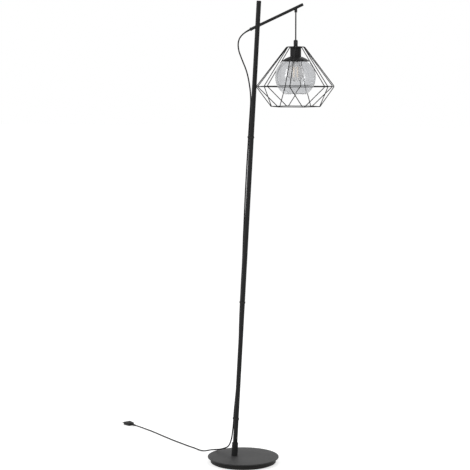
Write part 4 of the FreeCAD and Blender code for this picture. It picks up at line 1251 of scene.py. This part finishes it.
@dataclass
class MainsCord:
    """The mains cord from the arm's low end down the pole and along the floor, and the plug at its end."""

    diameter: float = 4.8 * MM
    length: float = 2.135
    spline_steps: int = 12
    relief_length: float = 22 * MM
    relief_start: float = 3.5 * MM
    relief_end: float = 2.62 * MM
    relief_ribs: int = 5
    relief_rib_depth: float = 0.25 * MM
    relief_fineness: int = 4
    plug_size: Triple = (32 * MM, 12.6 * MM, 34 * MM)
    plug_foot_share: Point = (0.74, 0.94)
    plug_round: float = 2.6 * MM
    plug_start: float = 25 * MM
    rib_size: Triple = (16.64 * MM, 1.0 * MM, 1.5 * MM)
    rib_round: float = 0.3 * MM
    rib_heights: tuple[float, ...] = (-8.06 * MM, -4.96 * MM, -1.86 * MM, 1.24 * MM, 4.34 * MM)
    pin_spacing: float = 19 * MM
    sleeve_length: float = 10 * MM
    sleeve_radius: float = 2.12 * MM
    sleeve_round: float = 0.15 * MM
    sleeve_sink: float = 0.1 * MM

    def route(self) -> list[Vector]:
        """The points that the cord follows, from the bush in the arm's low end to the plug.

        Returns:
            The points in order.
        """
        points = [
            (23.926, 0.0, 1522.781), (4.0, 0.0, 1513.7), (-18.0, 0.5, 1490.0), (-19.5, 1.0, 1456.0),
            (-4.5, 2.0, 1417.0), (11.5, 3.0, 1380.0), (21.0, 4.0, 1334.0), (26.0, 5.0, 1286.0), (22.6, 4.0, 1232.0),
            (19.67, 0.0, 1174.0), (17.08, 0.0, 1126.0), (12.5, 0.6, 1058.0), (8.6, 1.6, 991.0), (4.9, 2.5, 923.0),
            (1.9, 3.8, 856.0), (-1.3, 4.9, 788.0), (-3.5, 6.5, 720.0), (-7.6, 6.2, 652.0), (-10.2, 5.35, 594.0),
            (-12.52, 5.35, 551.0), (-15.6, 7.4, 482.0), (-17.2, 9.4, 414.0), (-19.7, 10.4, 346.0),
            (-25.0, 9.2, 278.0), (-30.7, 6.3, 214.0), (-33.84, 2.59, 176.8), (-36.1, 2.59, 134.9),
            (-40.0, 4.0, 104.0), (-45.0, 9.0, 76.0), (-57.0, 17.5, 49.0), (-75.0, 28.5, 38.5), (-96.0, 38.5, 30.5),
            (-116.0, 48.0, 26.4), (-136.0, 60.0, 20.8), (-154.0, 79.0, 12.5), (-172.0, 100.0, 5.0),
            (-193.0, 118.0, 2.7), (-215.1, 141.8, 2.6), (-246.5, 166.4, 2.6), (-282.6, 199.7, 2.6),
            (-321.2, 233.8, 2.6), (-364.8, 277.0, 2.6), (-406.7, 319.2, 2.6), (-446.4, 359.0, 2.7),
            (-482.4, 385.1, 4.4), (-508.6, 400.9, 6.8), (-529.5, 417.3, 6.8),
        ]
        return [Vector(point) * MM for point in points]

    def line(self) -> list[Vector]:
        """Points along the spline itself, read from it with no section.

        Returns:
            The points in order.
        """
        bare = cable_curve("bare_route", self.route(), 0, self.spline_steps)
        bpy.context.scene.collection.objects.link(bare)
        bpy.context.view_layer.update()
        data = bpy.data.meshes.new_from_object(bare.evaluated_get(bpy.context.evaluated_depsgraph_get()))
        points = [vertex.co.copy() for vertex in data.vertices]
        bpy.data.meshes.remove(data)
        bpy.data.objects.remove(bare)
        return points

    def entry_relief(self) -> BMesh:
        """The tapered, ribbed sleeve on the cord where it comes out of the arm.

        Returns:
            The sleeve's mesh, in place.
        """
        line = self.line()
        spots, reach = [line[0]], 0.0
        for before, after in zip(line, line[1:]):
            reach += (after - before).length
            if reach > self.relief_length:
                break
            spots.append(after)
        fine: list[Vector] = []
        for before, after in zip(spots, spots[1:]):
            fine += [before.lerp(after, step / self.relief_fineness) for step in range(self.relief_fineness)]
        fine.append(spots[-1])
        radii = []
        for i in range(len(fine)):
            share = i / (len(fine) - 1)
            wave = abs(math.sin(math.pi * self.relief_ribs * share))
            taper = self.relief_start + (self.relief_end - self.relief_start) * share
            radii.append(taper - self.relief_rib_depth * (1 - wave) * (1 - share))
        return tube_along(fine, radii)

    def plug_place(self) -> Matrix:
        """The plug's place: its own Z is the way the cord runs on, its own Y is up.

        Returns:
            The place of the cord's end.
        """
        points = self.route()
        way = Vector((*(points[-1] - points[-2]).xy, 0)).normalized()
        side = Vector((-way.y, way.x, 0))
        turn = Matrix((side, Vector((0, 0, 1)), way)).transposed().to_4x4()
        return Matrix.Translation(points[-1]) @ turn

    def plug_body(self) -> BMesh:
        """The moulded plug: a rounded block, drawn in towards the cord, with grip ribs across both broad sides.

        Returns:
            The plug's mesh, in place.
        """
        thick, tall = self.plug_size[1:]
        mesh = block(self.plug_size, self.plug_round, 5, self.plug_foot_share)
        for side in (-1, 1):
            for height in self.rib_heights:
                add_to(mesh, block(self.rib_size, self.rib_round), Matrix.Translation((0, side * thick / 2, height)))
        move(mesh, self.plug_place() @ Matrix.Translation((0, 0, self.plug_start + tall / 2)))
        return mesh

    def pin_sleeve(self) -> BMesh:
        """The insulating sleeve round the foot of a pin.

        Returns:
            The sleeve's mesh, standing on the origin.
        """
        mesh = turned([(0, 0), (self.sleeve_radius, 0), (self.sleeve_radius, self.sleeve_length),
                       (0, self.sleeve_length)], 32)
        ease(mesh, self.sleeve_round, 2)
        return mesh

    def pin_sleeves(self) -> BMesh:
        """Both pins' sleeves, on the plug's face.

        Returns:
            The sleeves' mesh, in place.
        """
        face = self.plug_start + self.plug_size[2] - self.sleeve_sink
        places = [self.plug_place() @ Matrix.Translation((side * self.pin_spacing / 2, 0, face)) for side in (-1, 1)]
        return copies(self.pin_sleeve, places)

    def build(self, shop: Workshop) -> None:
        """Make the cord, its relief and its plug.

        Args:
            shop: The workshop that finishes the pieces.
        """
        line = cable_curve("mains_cord", self.route(), self.diameter / 2, self.spline_steps, roundness=5)
        cord = shop.settle(line, Body.STAND, SHEATH, "feed_cord")
        shop.piece("cord_entry_relief", self.entry_relief(), Body.STAND, SOFT_BLACK)
        plug = shop.piece("plug_housing", self.plug_body(), Body.STAND, BLACK_PLASTIC, "plug_body")
        sleeves = shop.piece("plug_pin_sleeves", self.pin_sleeves(), Body.STAND, BLACK_PLASTIC)


# --- studio


def put(name: str, data: bpy.types.ID, spot: Triple = ORIGIN, turn: Triple = ORIGIN) -> Thing:
    """Put a lamp, a camera or the floor into the scene.

    Args:
        name: The object's name.
        data: What it shows.
        spot: Where it stands.
        turn: How it is turned.

    Returns:
        The new object.
    """
    thing = bpy.data.objects.new(name, data)
    thing.location = spot
    thing.rotation_euler = turn
    bpy.context.scene.collection.objects.link(thing)
    return thing


@dataclass(frozen=True)
class Viewpoint:
    """The photograph's camera."""

    spot: Triple = (1.2125, -5.1749, 1.395)
    tilt: float = math.radians(83.73)
    turn: float = math.radians(13.5)
    lens: float = 117.19
    sensor: float = 36.0

    def build(self) -> None:
        """Make the camera and look through it."""
        data = bpy.data.cameras.new("camera")
        data.lens = self.lens
        data.sensor_width = self.sensor
        bpy.context.scene.camera = put("camera", data, self.spot, (self.tilt, 0, self.turn))
        LOG.info("camera at %s", self.spot)


@dataclass(frozen=True)
class Softbox:
    """A rectangular soft lamp."""

    name: str
    spot: Triple
    aim: Triple
    width: float
    height: float
    power: float

    def build(self) -> None:
        """Hang the lamp and point it."""
        data = bpy.data.lights.new(self.name, "AREA")
        data.shape = "RECTANGLE"
        data.size = self.width
        data.size_y = self.height
        data.energy = self.power
        way = Vector(self.aim) - Vector(self.spot)
        put(self.name, data, self.spot, way.to_track_quat("-Z", "Y").to_euler())
        LOG.info("hung the %s", self.name)


@dataclass
class Studio:
    """A pale floor, a white world and soft lamps."""

    floor_half: float = 30.0
    floor_drop: float = 0.3 * MM
    floor_tones: Point = (0.62, 0.64)
    floor_roughness: float = 0.9
    floor_specular: float = 0.1
    floor_lift: float = 0.62
    world_level: float = 0.62
    lamps: tuple[Softbox, ...] = (
        Softbox("key_lamp", (-2.4, -2.6, 2.5), (0.0, 0.0, 0.9), 0.9, 3.0, 58),
        Softbox("fill_lamp", (2.8, -1.6, 2.1), (0.1, 0.0, 1.0), 0.6, 2.8, 16),
        Softbox("back_lamp", (0.2, 2.6, 2.9), (0.0, 0.0, 0.9), 1.8, 1.4, 20),
    )

    def seen(self, nodes: NodeTree) -> Socket:
        """A socket that is 1 for the rays that see the background, straight or in glass and metal.

        Args:
            nodes: The tree that it goes into.

        Returns:
            The socket.
        """
        rays = nodes.add("ShaderNodeLightPath").outputs
        shiny = nodes.calc("MAXIMUM", rays["Is Camera Ray"], rays["Is Glossy Ray"])
        return nodes.calc("MAXIMUM", shiny, rays["Is Transmission Ray"])

    def build_world(self) -> None:
        """A white world: plain light for surfaces, and pure white where it is seen."""
        world = bpy.data.worlds.new("studio")
        bpy.context.scene.world = world
        world.use_nodes = True
        nodes = NodeTree(world.node_tree)
        level = nodes.remap(self.seen(nodes), (0.0, 1.0), (self.world_level, 1.0))
        nodes.feed(world.node_tree.nodes["Background"], {"Color": OPAQUE_WHITE, "Strength": level})

    def floor_material(self) -> bpy.types.Material:
        """A pale matt surface that glows just enough to read as white where it is seen.

        Returns:
            The floor's material.
        """
        canvas = Canvas("pale_floor")
        nodes, shader = canvas.nodes, canvas.shader
        tone = nodes.remap(nodes.noise(canvas.place, scale=3.0, detail=4.0), (0.0, 1.0), self.floor_tones)
        grey = nodes.add("ShaderNodeCombineColor", {0: tone, 1: tone, 2: tone}).outputs[0]
        nodes.feed(shader, {"Base Color": grey, "Roughness": self.floor_roughness,
                            "Specular IOR Level": self.floor_specular})
        lift = nodes.calc("MULTIPLY", self.seen(nodes), self.floor_lift)
        glow = nodes.add("ShaderNodeEmission", {"Color": OPAQUE_WHITE, "Strength": lift})
        both = nodes.add("ShaderNodeAddShader", {0: shader.outputs[0], 1: glow.outputs[0]})
        nodes.feed(canvas.output, {"Surface": both.outputs[0]})
        return canvas.material

    def build_floor(self) -> None:
        """A wide pale floor that keeps the lamp's soft shadow."""
        mesh = bmesh.new()
        bmesh.ops.create_grid(mesh, x_segments=1, y_segments=1, size=self.floor_half,
                              matrix=Matrix.Translation((0, 0, -self.floor_drop)))
        data = bpy.data.meshes.new("floor")
        mesh.to_mesh(data)
        mesh.free()
        data.materials.append(self.floor_material())
        put("floor", data)

    def build(self) -> None:
        """Make the whole studio."""
        bpy.context.scene.view_settings.view_transform = "Standard"
        self.build_world()
        self.build_floor()
        for lamp in self.lamps:
            lamp.build()


# --- main

CARRIED: dict[Finish, tuple[str, ...]] = {
    PAD_FELT: ("base_pad",),
    ZINC: ("foot_bolt", "foot_washer", "pole_foot_insert", "pole_joiner_lower", "pole_joiner_upper",
           "arm_clamp_plug", "cord_nipple", "nipple_nut"),
    BLACK_SCREW: ("sleeve_screw", "arm_grub_screw", "cord_grip_screw"),
    SATIN_BLACK: ("cage_wire_1", "cage_wire_2", "cage_wire_3", "cage_wire_4", "cage_wire_5", "cage_wire_6",
                  "cage_equator_rods", "cage_bottom_rods", "arm_gland"),
    BLACK_PLASTIC: ("lampholder_insert",),
    SOFT_BLACK: ("cord_clip_low", "cord_clip_middle", "cord_clip_top", "gland_grommet", "globe_gasket", "plug_relief"),
    SHEATH: ("arm_cable",),
    LEAD_SHEATH: ("arm_leads", "holder_leads"),
    BRASS: ("lampholder_shell", "lampholder_tongue", "terminal_screws"),
    NICKEL: ("plug_pins",),
    STEM_GLASS: ("bulb_stem",),
    CAP_METAL: ("bulb_base",),
    INSULATOR: ("bulb_insulator",),
    FILAMENT_COAT: ("bulb_filaments",),
}


def main() -> None:
    """Load the frame, build every assembly round it, and set up the camera and the studio."""
    logging.basicConfig(level=logging.INFO, format="%(message)s")
    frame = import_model()
    shop = Workshop()
    for finish, names in CARRIED.items():
        shop.dress(frame["nodes"], finish, names)
    for assembly in (Base(), Pole(), Arm(), HangingCable(), Cage(), Lampholder(), Globe(), Bulb(), MainsCord()):
        LOG.info("building the %s", type(assembly).__name__)
        assembly.build(shop)
    Viewpoint().build()
    Studio().build()


if __name__ == "__main__":
    main()
